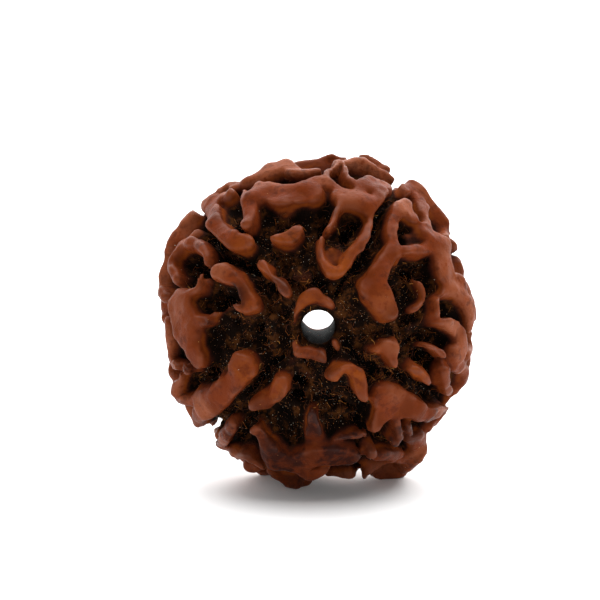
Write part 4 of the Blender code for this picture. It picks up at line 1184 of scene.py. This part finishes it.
# Table: a plain white top, which glows faintly from the tent's light below it and is paper white.
# The table and the lights are the setting, not parts of the seed. Their sizes are in metres.
TABLE_SIDE = 6.0
TABLE_WHITE = (0.90, 0.90, 0.90, 1.0)
TABLE_GLOW = 0.07
WHITE_LIGHT = (1.0, 1.0, 1.0, 1.0)
floor_mesh = bpy.data.meshes.new("table_top")
bm = bmesh.new()
bmesh.ops.create_grid(bm, x_segments=1, y_segments=1, size=TABLE_SIDE / 2.0)
bm.to_mesh(floor_mesh)
bm.free()
floor_mesh.transform(Matrix.Translation((0.0, 0.0, box_low.z)))
floor = bpy.data.objects.new("table_top", floor_mesh)
bpy.context.scene.collection.objects.link(floor)
table_white, wire, shader = new_finish("white table top")
shader.inputs["Base Color"].default_value = TABLE_WHITE
shader.inputs["Roughness"].default_value = 0.9
shader.inputs["Emission Color"].default_value = WHITE_LIGHT
shader.inputs["Emission Strength"].default_value = TABLE_GLOW
floor_mesh.materials.append(table_white)

# Light tent: white cloth all round the table, whose even glow fills the shadows
TENT_STRENGTH = 0.36
world = bpy.data.worlds.new("light tent")
world.use_nodes = True
cloth = world.node_tree.nodes["Background"]
cloth.inputs["Color"].default_value = WHITE_LIGHT
cloth.inputs["Strength"].default_value = TENT_STRENGTH
bpy.context.scene.world = world
bpy.context.scene.view_settings.view_transform = "Standard"

# The tent's bright roof: one broad, even light from overhead, a little from behind and the right
ROOF_STRENGTH = 5.0
ROOF_SPREAD_DEGREES = 92.0
ROOF_BACK_DEGREES = 15.0
ROOF_SIDE_DEGREES = 8.0
roof_data = bpy.data.lights.new("tent_roof", "SUN")
roof_data.energy = ROOF_STRENGTH
roof_data.angle = math.radians(ROOF_SPREAD_DEGREES)
roof = bpy.data.objects.new("tent_roof", roof_data)
roof.rotation_euler = (-math.radians(ROOF_BACK_DEGREES), math.radians(ROOF_SIDE_DEGREES), 0.0)
bpy.context.scene.collection.objects.link(roof)

# The tent's back wall, out of the picture above the table: it glances off the tops of the ridges
WALL_WIDTH = 1.8
WALL_HEIGHT = 1.0
WALL_MIDDLE = 0.55
WALL_BEHIND = 0.8
WALL_POWER = 18.0
wall_data = bpy.data.lights.new("tent_back_wall", "AREA")
wall_data.shape = "RECTANGLE"
wall_data.size = WALL_WIDTH
wall_data.size_y = WALL_HEIGHT
wall_data.energy = WALL_POWER
wall = bpy.data.objects.new("tent_back_wall", wall_data)
wall.location = (0.0, WALL_BEHIND, WALL_MIDDLE)
wall.rotation_euler = (-math.pi / 2.0, 0.0, 0.0)
bpy.context.scene.collection.objects.link(wall)

# Camera: looking down by as much as the stone is tipped, so that the hole is seen from end to end.
# The stone fills a little over half of the picture's width.
CAMERA_DISTANCE = 0.35
CAMERA_DEGREES = 12.0
FRAME_SIDE = 37.5 * MM
SENSOR = 36.0
AIM_LEFT = 1.125 * MM
AIM_UP = 1.28 * MM
elevation = math.radians(CAMERA_DEGREES)
sight = Vector((0.0, math.cos(elevation), -math.sin(elevation)))
upward = Vector((0.0, math.sin(elevation), math.cos(elevation)))
aim = stone_middle + Vector((-AIM_LEFT, 0.0, 0.0)) + upward * AIM_UP
camera_data = bpy.data.cameras.new("camera")
camera_data.sensor_width = SENSOR
camera_data.lens = SENSOR * CAMERA_DISTANCE / FRAME_SIDE
camera_data.clip_start = 0.01
camera = bpy.data.objects.new("camera", camera_data)
camera.location = aim - sight * CAMERA_DISTANCE
camera.rotation_euler = sight.to_track_quat("-Z", "Y").to_euler()
bpy.context.scene.collection.objects.link(camera)
bpy.context.scene.camera = camera
